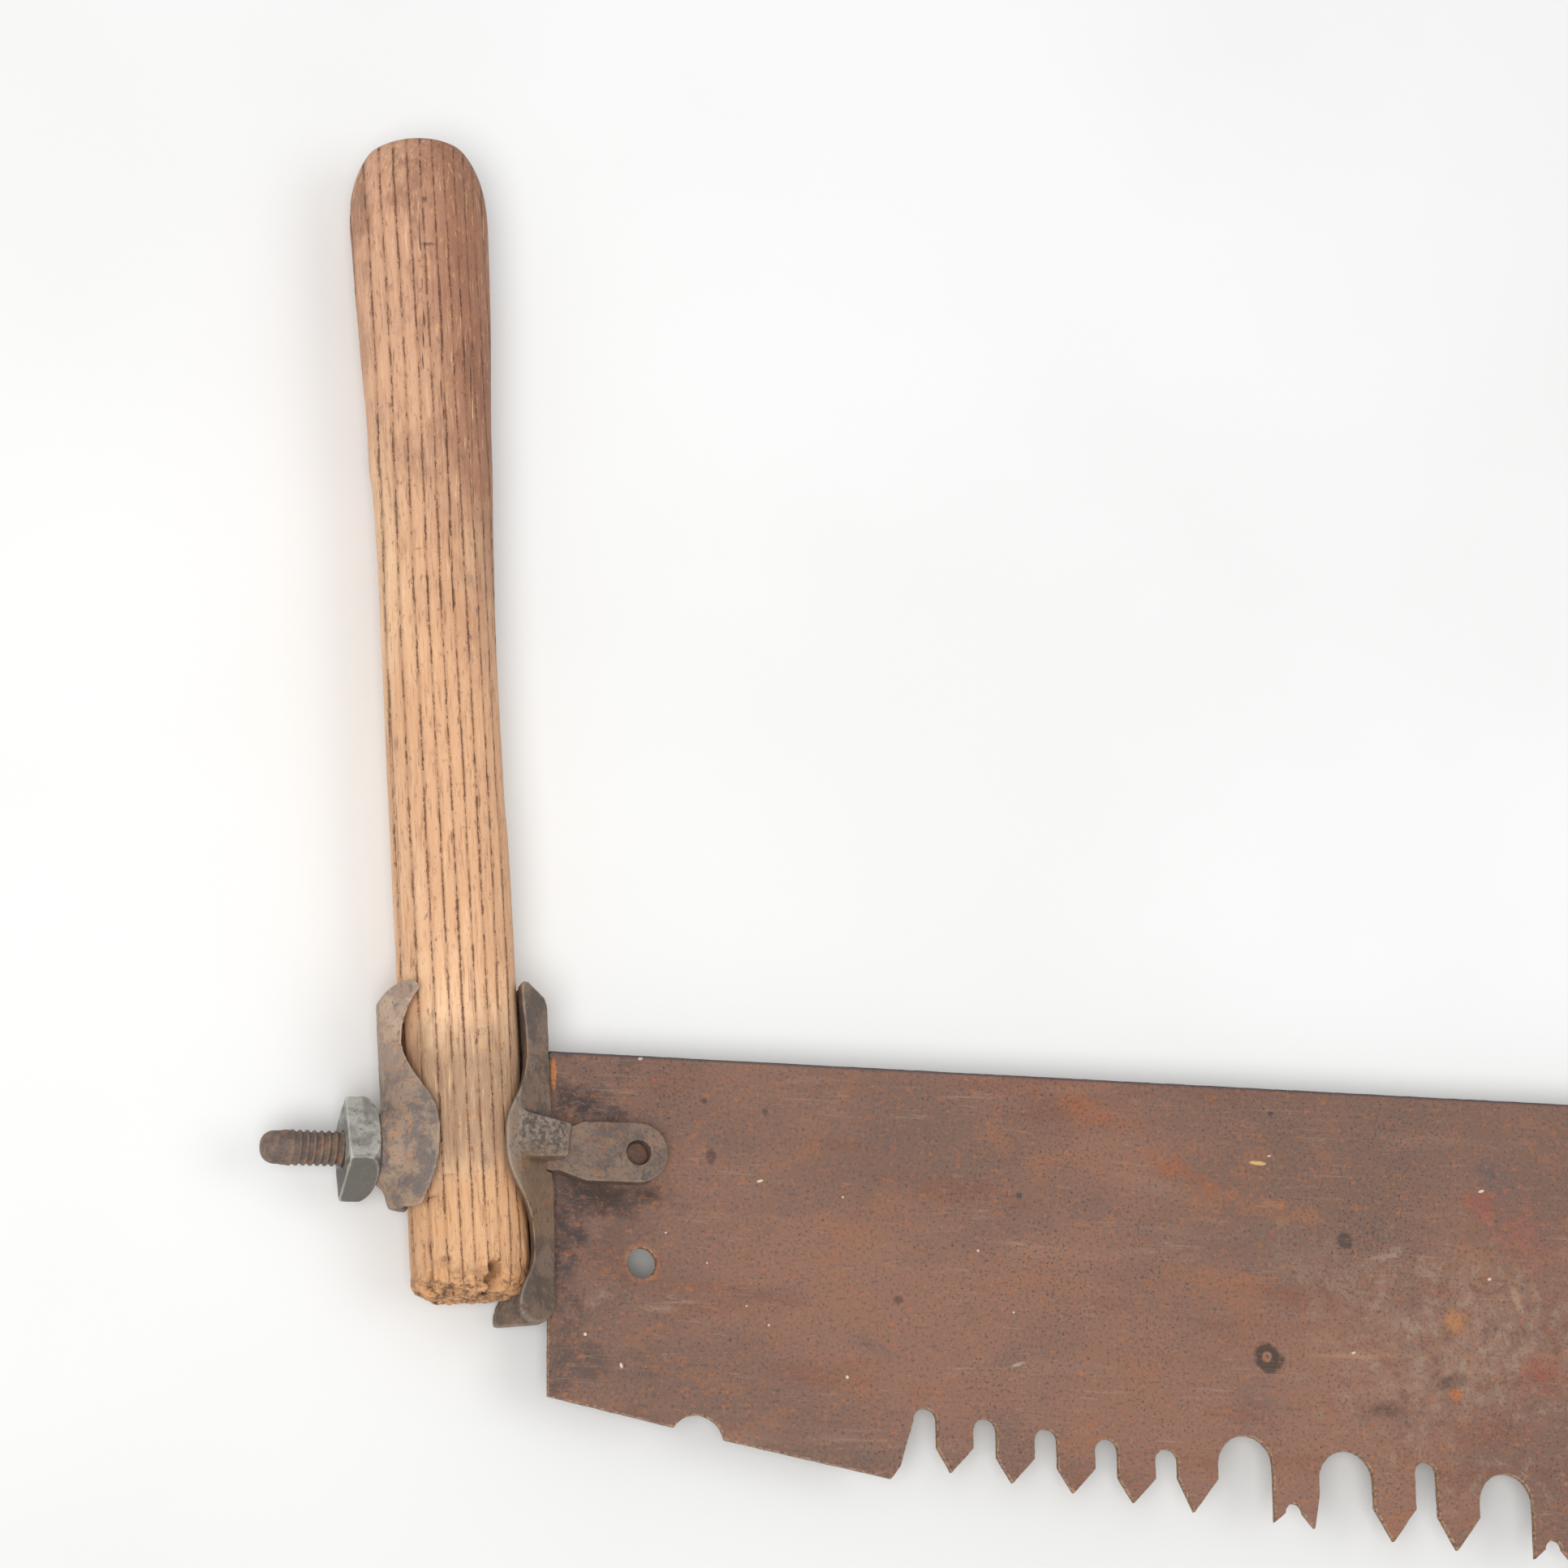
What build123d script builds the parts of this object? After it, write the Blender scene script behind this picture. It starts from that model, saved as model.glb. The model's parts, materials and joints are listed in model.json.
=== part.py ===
"""Two-man crosscut saw, lying flat: toothed blade with a clamped wooden grip at each end.

Frame: +X along the straight back of the blade, +Y from the teeth towards the grips, +Z up.
The origin is under the middle of the saw, on the surface it lies on. Units are millimetres.

Each end has the same hardware: a forked draw bolt pinned to the blade, a front saddle
between the blade and the grip, the grip, a back saddle and a square nut. The right end is
the left end turned half a turn about the upright line through the middle of the blade.
"""
from build123d import *
import os
from math import atan, atan2, degrees, radians, sin, cos, sqrt

# ---------------------------------------------------------------- driving dimensions
blade_length = 1676.0
blade_thickness = 2.4
end_depth = 102.5
mid_depth = 171.6
tip_arc_radius = 5140.0

# teeth: rakers at an even pitch with two cutters between them, five cutters at each end
raker_pitch = 86.4
rakers_each_side = 7
raker_width = 13.3
raker_notch_width = 5.6
raker_notch_depth = 6.6
raker_setback = 0.6
raker_lean = 0.9
cutter_from_raker = 32.6
cutter_half_width = 7.1
cutter_flank_height = 10.3
end_cutter_flank_height = 7.5
end_cutters = 5
end_cutter_pitch = 19.3
narrow_gullet = 7.3
narrow_gullet_depth = 25.8
wide_gullet_depth = 25.6
end_gullet_depth = 17.8
gullet_shift = 1.2

# untoothed end of the lower edge
notch_start = (38.1, -110.6)
notch_top = (45.8, -106.9)
notch_end = (53.2, -113.9)
heel_point = (104.6, -124.0)
heel_corner = (107.6, -120.2)
heel_gullet_x = 115.4

# holes in the blade, measured from its upper corner
pin_hole_radius = 4.5
pin_hole = (26.0, -30.6)
spare_hole_radius = 4.5
spare_hole = (28.2, -62.6)

# draw bolt, measured outwards from the pin; its unthreaded tip is the bullet
bolt_tilt = 1.05
bolt_radius = 5.4
bolt_length = 111.8
thread_end = 105.5
bullet_radius = 4.9
bullet_nose = 4.8
bullet_flat = 1.47
tine_half_thickness = 6.8
eye_radius = 8.9
eye_hole_radius = 3.75
fork_slot = 2.7
fork_bottom = 26.8
cheek_end = 16.0
neck_half_width = 6.0
neck_start = 24.0
neck_end = 31.6

# hitch pin
pin_radius = 3.7
pin_recess = 3.0
pin_chamfer = 0.5

# square nut
nut_side = 22.2
nut_thickness = 9.9
nut_inner_face = 77.8
nut_bore_radius = bolt_radius + 0.05
nut_turn = 19.5
nut_dome_height = 4.2
nut_dome_bulge = (13.81, 1.72)
nut_seat_radius = 9.0
nut_edge_break = 0.8

# grip; heights run along its own axis from a centre point beside the bolt's axis
grip_centre = (-25.08, -32.12)
grip_lean = 3.5
grip_from_pin = 51.1
grip_radius = 17.8
grip_bore_radius = 5.8
grip_bottom = -43.6
grip_top = 323.0
grip_swell_radius = 22.0
grip_swell_at = 282.0
grip_straight = 150.0
grip_end_round = (5.0, 8.0)

# saddles: q runs from the grip axis towards the blade, p up along the grip from its centre
saddle_clearance = 0.5
saddle_inner = grip_radius + saddle_clearance
saddle_bore_radius = 5.75
back_outer_q = 24.2
back_outer_z = 21.0
seat_radius = 10.5
seat_root_radius = 14.5
seat_root = 17.4
seat_gap = 0.05
front_outer = 21.2
front_rim_q = 4.0
front_bend_q = 16.0
nose_q = 26.4
nose_half_thickness = 4.3
slot_width = 3.1
slot_gap = 0.4
foot_slope = 0.1
back_foot, front_foot = -15.9, -50.7
fork_gap = 0.35
pocket_start = 10.0
mouth_start = -2.0
mouth_end = 26.0

# boss over the neck of the bolt: corners of its top seen from above, and its falling height
boss_corners = [(-12.2, -21.4), (-11.8, -35.2), (2.6, -32.2), (3.6, -24.3)]
boss_high, boss_low = 17.0, 10.0
boss_high_x, boss_low_x = -12.0, 3.5
boss_flare = 9.0

left_end, right_end = "left", "right"

# ---------------------------------------------------------------- frames of the left end
tilt = radians(bolt_tilt)
outward = Vector(-cos(tilt), -sin(tilt), 0)
pin_point = Vector(pin_hole[0], pin_hole[1], 0)

# local x is the saw's thickness, local y runs across the bolt, local z outwards along it
bolt_frame = Plane(origin=pin_point, x_dir=(0, 0, 1), z_dir=outward)

# local x is q, local y is p, local z is the saw's thickness
grip_origin = Vector(grip_centre[0], grip_centre[1], 0)
lean = radians(grip_lean)
grip_frame = Plane(origin=grip_origin, x_dir=(cos(lean), sin(lean), 0), z_dir=(0, 0, 1))


def rod(radius, start, end):
    """Cylinder along the bolt axis between two distances from the pin."""
    stock = Cylinder(radius, end - start, align=(Align.CENTER, Align.CENTER, Align.MIN))
    return bolt_frame * Pos(0, 0, start) * stock


def plate(outline, thickness):
    """Solid of an XY outline, centred on the middle plane of the blade."""
    return extrude(make_face(outline), amount=thickness / 2, both=True)


# ---------------------------------------------------------------- blade
def tip_y(x):
    """Height of the arc that the cutter tips lie on."""
    return (x - blade_length / 2) ** 2 / (2 * tip_arc_radius) - mid_depth


def tooth_tips():
    """Every tooth point from left to right, as (x, kind)."""
    tips = []
    middle = blade_length / 2
    for step in range(-rakers_each_side, rakers_each_side + 1):
        centre = middle + step * raker_pitch
        tips += [(centre - raker_width / 2, "raker"), (centre + raker_width / 2, "raker")]
        tips += [(centre - cutter_from_raker, "cutter"), (centre + cutter_from_raker, "cutter")]
    last_raker = rakers_each_side * raker_pitch
    for extra in range(1, end_cutters):
        reach = last_raker + cutter_from_raker + extra * end_cutter_pitch
        tips += [(middle - reach, "end_cutter"), (middle + reach, "end_cutter")]
    return sorted(tips)


def tip_point(tip):
    x, kind = tip
    setback = raker_setback if kind == "raker" else 0
    return (x, tip_y(x) + setback)


def notch_edges(tip_a, tip_b):
    """Rounded notch between the two points of a raker."""
    a, b = tip_point(tip_a), tip_point(tip_b)
    x = (a[0] + b[0]) / 2
    side = raker_notch_width / 2
    top = tip_y(x) + raker_setback + raker_notch_depth
    left, right = (x - side, top - side), (x + side, top - side)
    return [Line(a, left), ThreePointArc(left, (x, top), right), Line(right, b)]


def shoulder_y(tip):
    """Height at which the sharpened flank of a tooth meets its gullet wall."""
    low = tip[1] == "end_cutter"
    return tip_point(tip)[1] + (end_cutter_flank_height if low else cutter_flank_height)


def gullet_edges(tip_a, tip_b):
    """Round-topped gullet between two teeth, with the flanks that sharpen them."""
    a, b = tip_point(tip_a), tip_point(tip_b)
    kinds = (tip_a[1], tip_b[1])
    if "raker" in kinds:
        depth = wide_gullet_depth
        left = a[0] + (raker_lean if kinds[0] == "raker" else cutter_half_width)
        right = b[0] - (raker_lean if kinds[1] == "raker" else cutter_half_width)
    else:
        depth = end_gullet_depth if "end_cutter" in kinds else narrow_gullet_depth
        left = (a[0] + b[0] - narrow_gullet) / 2
        right = left + narrow_gullet
    left, right = left + gullet_shift, right + gullet_shift
    radius = (right - left) / 2
    middle = (left + right) / 2
    top = tip_y(middle) + depth
    shoulder_left = (left, shoulder_y(tip_a))
    shoulder_right = (right, shoulder_y(tip_b))
    spring_left, spring_right = (left, top - radius), (right, top - radius)
    return [
        Line(a, shoulder_left),
        Line(shoulder_left, spring_left),
        ThreePointArc(spring_left, (middle, top), spring_right),
        Line(spring_right, shoulder_right),
        Line(shoulder_right, b),
    ]


def heel_edges(first_tip):
    """Lower edge from the end of the blade to the first tooth point."""
    tip = tip_point(first_tip)
    radius = narrow_gullet / 2
    top = tip_y(heel_gullet_x) + end_gullet_depth
    left, right = heel_gullet_x - radius, heel_gullet_x + radius
    spring_left, spring_right = (left, top - radius), (right, top - radius)
    shoulder = (right, shoulder_y(first_tip))
    return [
        Line((0, -end_depth), notch_start),
        ThreePointArc(notch_start, notch_top, notch_end),
        Line(notch_end, heel_point),
        Line(heel_point, heel_corner),
        Line(heel_corner, spring_left),
        ThreePointArc(spring_left, (heel_gullet_x, top), spring_right),
        Line(spring_right, shoulder),
        Line(shoulder, tip),
    ]


def blade():
    tips = tooth_tips()
    heel = heel_edges(tips[0])
    far_heel = [edge.mirror(Plane.YZ.offset(blade_length / 2)) for edge in heel]
    edges = heel + far_heel
    for tip_a, tip_b in zip(tips, tips[1:]):
        same_raker = tip_a[1] == "raker" and tip_b[1] == "raker"
        edges += notch_edges(tip_a, tip_b) if same_raker else gullet_edges(tip_a, tip_b)
    edges += [
        Line((0, -end_depth), (0, 0)),
        Line((0, 0), (blade_length, 0)),
        Line((blade_length, 0), (blade_length, -end_depth)),
    ]
    body = plate(edges, blade_thickness)
    holes = [(pin_hole, pin_hole_radius), (spare_hole, spare_hole_radius)]
    for (x, y), radius in holes:
        for side_x in (x, blade_length - x):
            body -= Pos(side_x, y, 0) * Cylinder(radius, 4 * blade_thickness)
    return body


# ---------------------------------------------------------------- draw bolt and pin
def draw_bolt():
    """Threaded shank that ends in a fork, whose two tines straddle the blade."""
    root = neck_end - 1
    nose_start = bolt_length - bullet_nose
    nose_middle = (0.8 * bullet_radius, nose_start + 0.68 * bullet_nose)
    shank_profile = [
        Line((0, root), (bolt_radius, root)),
        Line((bolt_radius, root), (bolt_radius, thread_end)),
        Line((bolt_radius, thread_end), (bullet_radius, thread_end + 1)),
        Line((bullet_radius, thread_end + 1), (bullet_radius, nose_start)),
        ThreePointArc((bullet_radius, nose_start), nose_middle, (bullet_flat, bolt_length)),
        Line((bullet_flat, bolt_length), (0, bolt_length)),
        Line((0, bolt_length), (0, root)),
    ]
    shank = revolve(Plane.XZ * make_face(shank_profile), Axis.Z)

    # the tines are drawn across the bolt and outwards along it
    outline = [
        ThreePointArc((eye_radius, 0), (0, -eye_radius), (-eye_radius, 0)),
        Polyline((-eye_radius, 0), (-eye_radius, cheek_end), (-neck_half_width, neck_start),
                 (-neck_half_width, neck_end), (neck_half_width, neck_end),
                 (neck_half_width, neck_start), (eye_radius, cheek_end), (eye_radius, 0)),
    ]
    across = Plane(origin=(0, 0, 0), x_dir=(0, 1, 0), z_dir=(1, 0, 0))
    tines = extrude(across * make_face(outline), amount=tine_half_thickness, both=True)
    slot_reach = fork_bottom + 2 * eye_radius
    slot = Pos(0, 0, fork_bottom - slot_reach / 2) * Box(fork_slot, 4 * eye_radius, slot_reach)
    eye = Rot(0, 90, 0) * Cylinder(eye_hole_radius, 4 * tine_half_thickness)
    return bolt_frame * (tines + shank - slot - eye)


def hitch_pin():
    """Plain pin through both tines and the blade, set back from the upper tine's face."""
    top = tine_half_thickness - pin_recess
    length = top + tine_half_thickness
    stock = Cylinder(pin_radius, length, align=(Align.CENTER, Align.CENTER, Align.MIN))
    stock = chamfer(stock.edges().filter_by(GeomType.CIRCLE), pin_chamfer)
    return Pos(pin_hole[0], pin_hole[1], -tine_half_thickness) * stock


# ---------------------------------------------------------------- nut
def square_nut():
    """Square nut whose corners are domed off on the side that bears on the saddle."""
    outer_face = nut_inner_face + nut_thickness
    blank = Pos(0, 0, nut_inner_face) * Box(
        nut_side, nut_side, nut_thickness, align=(Align.CENTER, Align.CENTER, Align.MIN)
    )
    corner = nut_side / sqrt(2) + 0.1
    rim = corner - nut_edge_break
    dome_start = nut_inner_face + nut_dome_height
    bulge = (nut_dome_bulge[0], nut_inner_face + nut_dome_bulge[1])
    profile = [
        Line((0, outer_face), (rim, outer_face)),
        Line((rim, outer_face), (corner, outer_face - nut_edge_break)),
        Line((corner, outer_face - nut_edge_break), (corner, dome_start)),
        ThreePointArc((corner, dome_start), bulge, (nut_seat_radius, nut_inner_face)),
        Line((nut_seat_radius, nut_inner_face), (0, nut_inner_face)),
        Line((0, nut_inner_face), (0, outer_face)),
    ]
    envelope = revolve(Plane.XZ * make_face(profile), Axis.Z)
    turned = Rot(0, 0, 45 - nut_turn) * blank
    bore = Pos(0, 0, nut_inner_face) * Cylinder(nut_bore_radius, 4 * nut_thickness)
    return bolt_frame * ((turned & envelope) - bore)


# ---------------------------------------------------------------- grip
def grip():
    """Turned wooden handle with a swelled, rounded upper end."""
    r = grip_radius
    swell = grip_swell_radius
    end_inset, end_rise = grip_end_round
    waist = grip_bottom + grip_straight
    side = Spline(
        (r, waist),
        (r + 0.1, grip_swell_at - 117),
        (r + 1.7, grip_swell_at - 63),
        (swell - 0.6, grip_swell_at - 23),
        (swell, grip_swell_at),
        (swell - 2.2, grip_top - 15),
        (12.5, grip_top - 3),
        (0, grip_top),
        tangents=[(0, 1), (-1, 0)],
    )
    foot = (r - end_inset, grip_bottom)
    foot_middle = (r - 0.28 * end_inset, grip_bottom + 0.25 * end_rise)
    foot_top = (r - 0.2, grip_bottom + end_rise)
    profile = [
        Line((0, grip_top), (0, grip_bottom)),
        Line((0, grip_bottom), foot),
        ThreePointArc(foot, foot_middle, foot_top),
        Line(foot_top, (r, waist)),
        side,
    ]
    turned = revolve(make_face(profile), Axis.Y)
    bore = rod(grip_bore_radius, grip_from_pin - 2 * r, grip_from_pin + 2 * r)
    return grip_frame * turned - bore


# ---------------------------------------------------------------- saddles
def trimmed(section, side_outline):
    """Casting of one cross-section along the grip, trimmed to an outline seen from above."""
    reach = grip_top / 2
    section_plane = Plane(origin=(0, -reach, 0), x_dir=(1, 0, 0), z_dir=(0, 1, 0))
    casting = extrude(section_plane * section, amount=2 * reach)
    window = extrude(make_face(side_outline), amount=2 * back_outer_z, both=True)
    return casting & window


def below(level, slope):
    """Everything below a level across the grip; the cut rises with slope towards the ground."""
    stock = Box(4 * nose_q, grip_top, 4 * nose_q, align=(Align.CENTER, Align.MAX, Align.CENTER))
    return Pos(0, level, 0) * Rot(degrees(atan(slope)), 0, 0) * stock


def grip_hollow():
    """Room that both saddles leave for the grip."""
    return grip_frame * (Rot(90, 0, 0) * Cylinder(saddle_inner, 2 * grip_top))


def back_saddle():
    """Casting that cups the outer side of the grip and carries the nut."""
    cup = Ellipse(back_outer_q, back_outer_z) - Circle(saddle_inner)
    cup &= Pos(-back_outer_q, 0) * Rectangle(2 * back_outer_q, 4 * back_outer_z)
    tip, heel = (-14.6, 46.4), (-17.4, -18.4)
    heel_spine, low_spine, high_spine = (-20.6, -18.4), (-24.6, -8.0), (-24.8, 42.0)
    crown = (-17.6, 49.4)
    outline = [
        Spline(tip, (-18.6, 39.0), (-19.6, 30.0), (-16.2, 20.5), (-12.3, 12.8), (-10.9, 4.0),
               (-12.3, -6.0), heel),
        Line(heel, heel_spine),
        ThreePointArc(heel_spine, (-23.2, -13.8), low_spine),
        Line(low_spine, high_spine),
        ThreePointArc(high_spine, (-22.5, 47.5), crown),
        ThreePointArc(crown, (-15.3, 48.6), tip),
    ]
    cast = grip_frame * (trimmed(cup, outline) - below(back_foot, foot_slope))
    seat_start = grip_from_pin + seat_root
    seat_height = nut_inner_face - seat_gap - seat_start
    seat = Cone(seat_root_radius, seat_radius, seat_height,
                align=(Align.CENTER, Align.CENTER, Align.MIN))
    cast += bolt_frame * Pos(0, 0, seat_start) * seat
    return cast - grip_hollow() - rod(saddle_bore_radius, grip_from_pin, bolt_length)


def front_section():
    """Cross-section of the front saddle: a cup for the grip with a nose towards the blade."""
    rim_z = sqrt(front_outer ** 2 - front_rim_q ** 2)
    bend_z = sqrt(front_outer ** 2 - front_bend_q ** 2)
    inner_z = sqrt(saddle_inner ** 2 - front_rim_q ** 2)
    crown = radians(58)
    crown_q, crown_z = front_outer * cos(crown), front_outer * sin(crown)
    cheek_q, cheek_z = (front_bend_q + nose_q) / 2, 2 * nose_half_thickness
    edges = []
    for side in (1, -1):
        rim, bend = (front_rim_q, side * rim_z), (front_bend_q, side * bend_z)
        edges += [
            Line((front_rim_q, side * inner_z), rim),
            ThreePointArc(rim, (crown_q, side * crown_z), bend),
            Spline(bend, (cheek_q, side * cheek_z), (nose_q, side * nose_half_thickness)),
        ]
    edges += [
        Line((nose_q, nose_half_thickness), (nose_q, -nose_half_thickness)),
        ThreePointArc((front_rim_q, inner_z), (saddle_inner, 0), (front_rim_q, -inner_z)),
    ]
    return make_face(edges)


def boss():
    """Wedge on the upper face of the front saddle, over the neck of the bolt."""
    top = Plane.XY.offset(boss_high) * make_face(Polyline(*boss_corners, close=True))
    block = extrude(top, amount=-boss_high, taper=-boss_flare)
    fall = degrees(atan2(boss_high - boss_low, boss_low_x - boss_high_x))
    above = Pos(boss_high_x, 0, boss_high) * Rot(0, fall, 0)
    cover = Box(200, 200, 40, align=(Align.CENTER, Align.CENTER, Align.MIN))
    return block - above * cover


def front_saddle():
    """Casting between blade and grip: cup on one side, slotted nose on the other."""
    top_tip, low_tip = (17.0, 48.4), (10.4, -50.2)
    knob_top, knob_end, nose_top = (18.4, 49.6), (20.4, 49.0), (25.2, 46.2)
    nose_high, nose_middle = (26.3, 44.0), (25.4, -8.0)
    low_nose, nose_low = (20.6, -50.2), (23.4, -43.0)
    outline = [
        Spline(top_tip, (16.9, 44.0), (17.6, 34.0), (17.0, 25.0), (13.7, 16.0), (9.0, 7.0),
               (8.3, 1.0), (8.9, -6.5), (11.6, -12.5), (14.9, -19.0), (16.2, -28.0),
               (15.2, -35.0), (11.8, -41.0), (10.0, -46.0), low_tip),
        ThreePointArc(low_tip, (15.6, -52.2), low_nose),
        ThreePointArc(low_nose, (22.6, -47.3), nose_low),
        Line(nose_low, nose_middle),
        Line(nose_middle, nose_high),
        Line(nose_high, nose_top),
        Line(nose_top, knob_end),
        ThreePointArc(knob_end, knob_top, top_tip),
    ]
    cast = grip_frame * (trimmed(front_section(), outline) - below(front_foot, foot_slope))
    lug = boss()
    cast += lug + mirror(lug, Plane.XY)
    cast -= grip_hollow()

    # room for the end of the blade, the neck of the bolt and its fork
    from_left = (Align.MIN, Align.CENTER, Align.CENTER)
    cast -= Pos(-slot_gap, 0, 0) * Box(60, 400, slot_width, align=from_left)
    outwards = (Align.CENTER, Align.CENTER, Align.MIN)
    room_across = 2 * (tine_half_thickness + fork_gap)
    pocket_end = neck_end + fork_gap
    pocket = Box(room_across, 2 * (neck_half_width + fork_gap), pocket_end - pocket_start,
                 align=outwards)
    mouth = Box(room_across, 2 * (eye_radius + fork_gap), mouth_end - mouth_start, align=outwards)
    cast -= bolt_frame * (Pos(0, 0, pocket_start) * pocket + Pos(0, 0, mouth_start) * mouth)
    return cast - rod(saddle_bore_radius, neck_start, grip_from_pin)


# ---------------------------------------------------------------- assembly
def opposite(piece):
    """The same piece on the right end of the saw."""
    return piece.rotate(Axis((blade_length / 2, 0, 0), (0, 1, 0)), 180)


hardware = {
    "draw_bolt": draw_bolt(),
    "hitch_pin": hitch_pin(),
    "square_nut": square_nut(),
    "grip": grip(),
    "back_saddle": back_saddle(),
    "front_saddle": front_saddle(),
}

nodes = {"blade": blade()}
for name, piece in hardware.items():
    nodes[f"{left_end}_{name}"] = piece
    nodes[f"{right_end}_{name}"] = opposite(piece)

whole = Compound(children=[Compound(piece.solids()) for piece in nodes.values()])
box = whole.bounding_box()
to_origin = Pos(-blade_length / 2, -(box.min.Y + box.max.Y) / 2, -box.min.Z)

os.makedirs("parts", exist_ok=True)
for name, piece in nodes.items():
    solids = [to_origin * solid for solid in piece.solids()]
    export_step(solids[0] if len(solids) == 1 else Compound(solids), f"parts/{name}.step")
    print(name, len(solids), round(sum(solid.volume for solid in solids)))
print("shift", to_origin.position, "box", box.size)
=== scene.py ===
import json
import math

import bmesh
import bpy
import numpy as np
from mathutils import Matrix, Vector
from mathutils.geometry import tessellate_polygon


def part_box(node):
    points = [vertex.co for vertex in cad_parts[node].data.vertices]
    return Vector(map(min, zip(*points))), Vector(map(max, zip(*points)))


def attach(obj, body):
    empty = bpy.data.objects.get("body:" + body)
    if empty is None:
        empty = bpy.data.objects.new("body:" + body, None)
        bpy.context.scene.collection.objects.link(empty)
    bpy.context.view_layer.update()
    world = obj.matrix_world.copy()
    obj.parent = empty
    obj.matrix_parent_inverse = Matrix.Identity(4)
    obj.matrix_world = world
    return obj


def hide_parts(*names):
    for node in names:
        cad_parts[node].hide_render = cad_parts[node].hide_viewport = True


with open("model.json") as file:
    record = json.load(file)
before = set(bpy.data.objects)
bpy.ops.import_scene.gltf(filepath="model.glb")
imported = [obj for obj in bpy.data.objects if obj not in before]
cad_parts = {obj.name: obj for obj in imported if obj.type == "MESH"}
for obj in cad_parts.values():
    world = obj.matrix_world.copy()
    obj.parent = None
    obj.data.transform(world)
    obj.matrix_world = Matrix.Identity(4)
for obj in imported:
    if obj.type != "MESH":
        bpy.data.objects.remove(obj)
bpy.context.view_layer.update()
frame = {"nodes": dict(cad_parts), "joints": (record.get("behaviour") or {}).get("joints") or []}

MM = 0.001
scene = bpy.context.scene


# ---------------------------------------------------------------- numbers on points
def lattice(cells, seed):
    """Repeatable number from 0 to 1 for each whole-number cell."""
    mixed = cells[:, 0] * 374761393 + cells[:, 1] * 668265263 + cells[:, 2] * 1440670441
    mixed = (mixed + seed * 974634777) & 0xFFFFFFFF
    mixed = ((mixed ^ (mixed >> 13)) * 1274126177) & 0xFFFFFFFF
    mixed = ((mixed ^ (mixed >> 16)) * 2246822519) & 0xFFFFFFFF
    return (mixed ^ (mixed >> 15)) / 0xFFFFFFFF


def noise(points, size, seed, octaves=1):
    """Smooth noise from -1 to 1 on points, with features about size across."""
    total, weight_sum = np.zeros(len(points)), 0.0
    for octave in range(octaves):
        weight = 0.55 ** octave
        scaled = points / (np.asarray(size, float) * 0.5 ** octave)
        base = np.floor(scaled).astype(np.int64)
        part = scaled - base
        part = part * part * (3 - 2 * part)
        value = np.zeros(len(points))
        for corner in range(8):
            step = np.array([corner & 1, corner >> 1 & 1, corner >> 2 & 1])
            share = np.prod(np.where(step == 1, part, 1 - part), axis=1)
            value += share * lattice(base + step, seed + 31 * octave)
        total += weight * (2 * value - 1)
        weight_sum += weight
    return total / weight_sum


def ease(value, low, high):
    """0 below low, 1 above high, smooth between; low may be above high."""
    t = np.clip((value - low) / (high - low), 0, 1)
    return t * t * (3 - 2 * t)


# ---------------------------------------------------------------- meshes
def points_of(mesh):
    flat = np.empty(len(mesh.vertices) * 3, np.float32)
    mesh.vertices.foreach_get("co", flat)
    return flat.reshape(-1, 3).astype(float) / MM


def set_points(mesh, points):
    mesh.vertices.foreach_set("co", (points * MM).astype(np.float32).ravel())
    mesh.update()


def normals_of(mesh):
    flat = np.empty(len(mesh.vertices) * 3, np.float32)
    mesh.vertex_normals.foreach_get("vector", flat)
    return flat.reshape(-1, 3).astype(float)


def neighbours(mesh):
    """Pairs of joined vertices, both ways round, and how many each vertex has."""
    flat = np.empty(len(mesh.edges) * 2, np.int32)
    mesh.edges.foreach_get("vertices", flat)
    pairs = flat.reshape(-1, 2)
    pairs = np.vstack([pairs, pairs[:, ::-1]])
    count = np.bincount(pairs[:, 0], minlength=len(mesh.vertices))
    return pairs, np.maximum(count, 1)


def relaxed(values, joined, rounds, pull=0.5):
    """Values on vertices, each drawn towards the average of its neighbours."""
    pairs, count = joined
    values = values.reshape(len(count), -1).copy()
    for _ in range(rounds):
        mean = np.empty_like(values)
        for axis in range(values.shape[1]):
            mean[:, axis] = np.bincount(pairs[:, 0], values[pairs[:, 1], axis], len(count)) / count
        values += pull * (mean - values)
    return values


def store(mesh, name, values):
    layer = mesh.attributes.new(name, "FLOAT", "POINT")
    layer.data.foreach_set("value", np.asarray(values, np.float32))


def placed(name, mesh, body, node, material):
    """Puts a mesh in the scene as the piece that stands for a CAD node."""
    piece = bpy.data.objects.new(name, mesh)
    scene.collection.objects.link(piece)
    mesh.materials.clear()
    mesh.materials.append(material)
    mesh.polygons.foreach_set("use_smooth", [True] * len(mesh.polygons))
    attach(piece, body)
    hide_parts(node)
    return piece


def reskinned(mesh, voxel, rounds):
    """A closed mesh as an even skin of small faces with softened edges."""
    scratch = bpy.data.objects.new("scratch", mesh)
    scene.collection.objects.link(scratch)
    remesh = scratch.modifiers.new("Remesh", "REMESH")
    remesh.mode = "VOXEL"
    remesh.voxel_size = voxel * MM
    graph = bpy.context.evaluated_depsgraph_get()
    skin = bpy.data.meshes.new_from_object(scratch.evaluated_get(graph))
    bpy.data.objects.remove(scratch)
    set_points(skin, relaxed(points_of(skin), neighbours(skin), rounds))
    return skin


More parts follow.
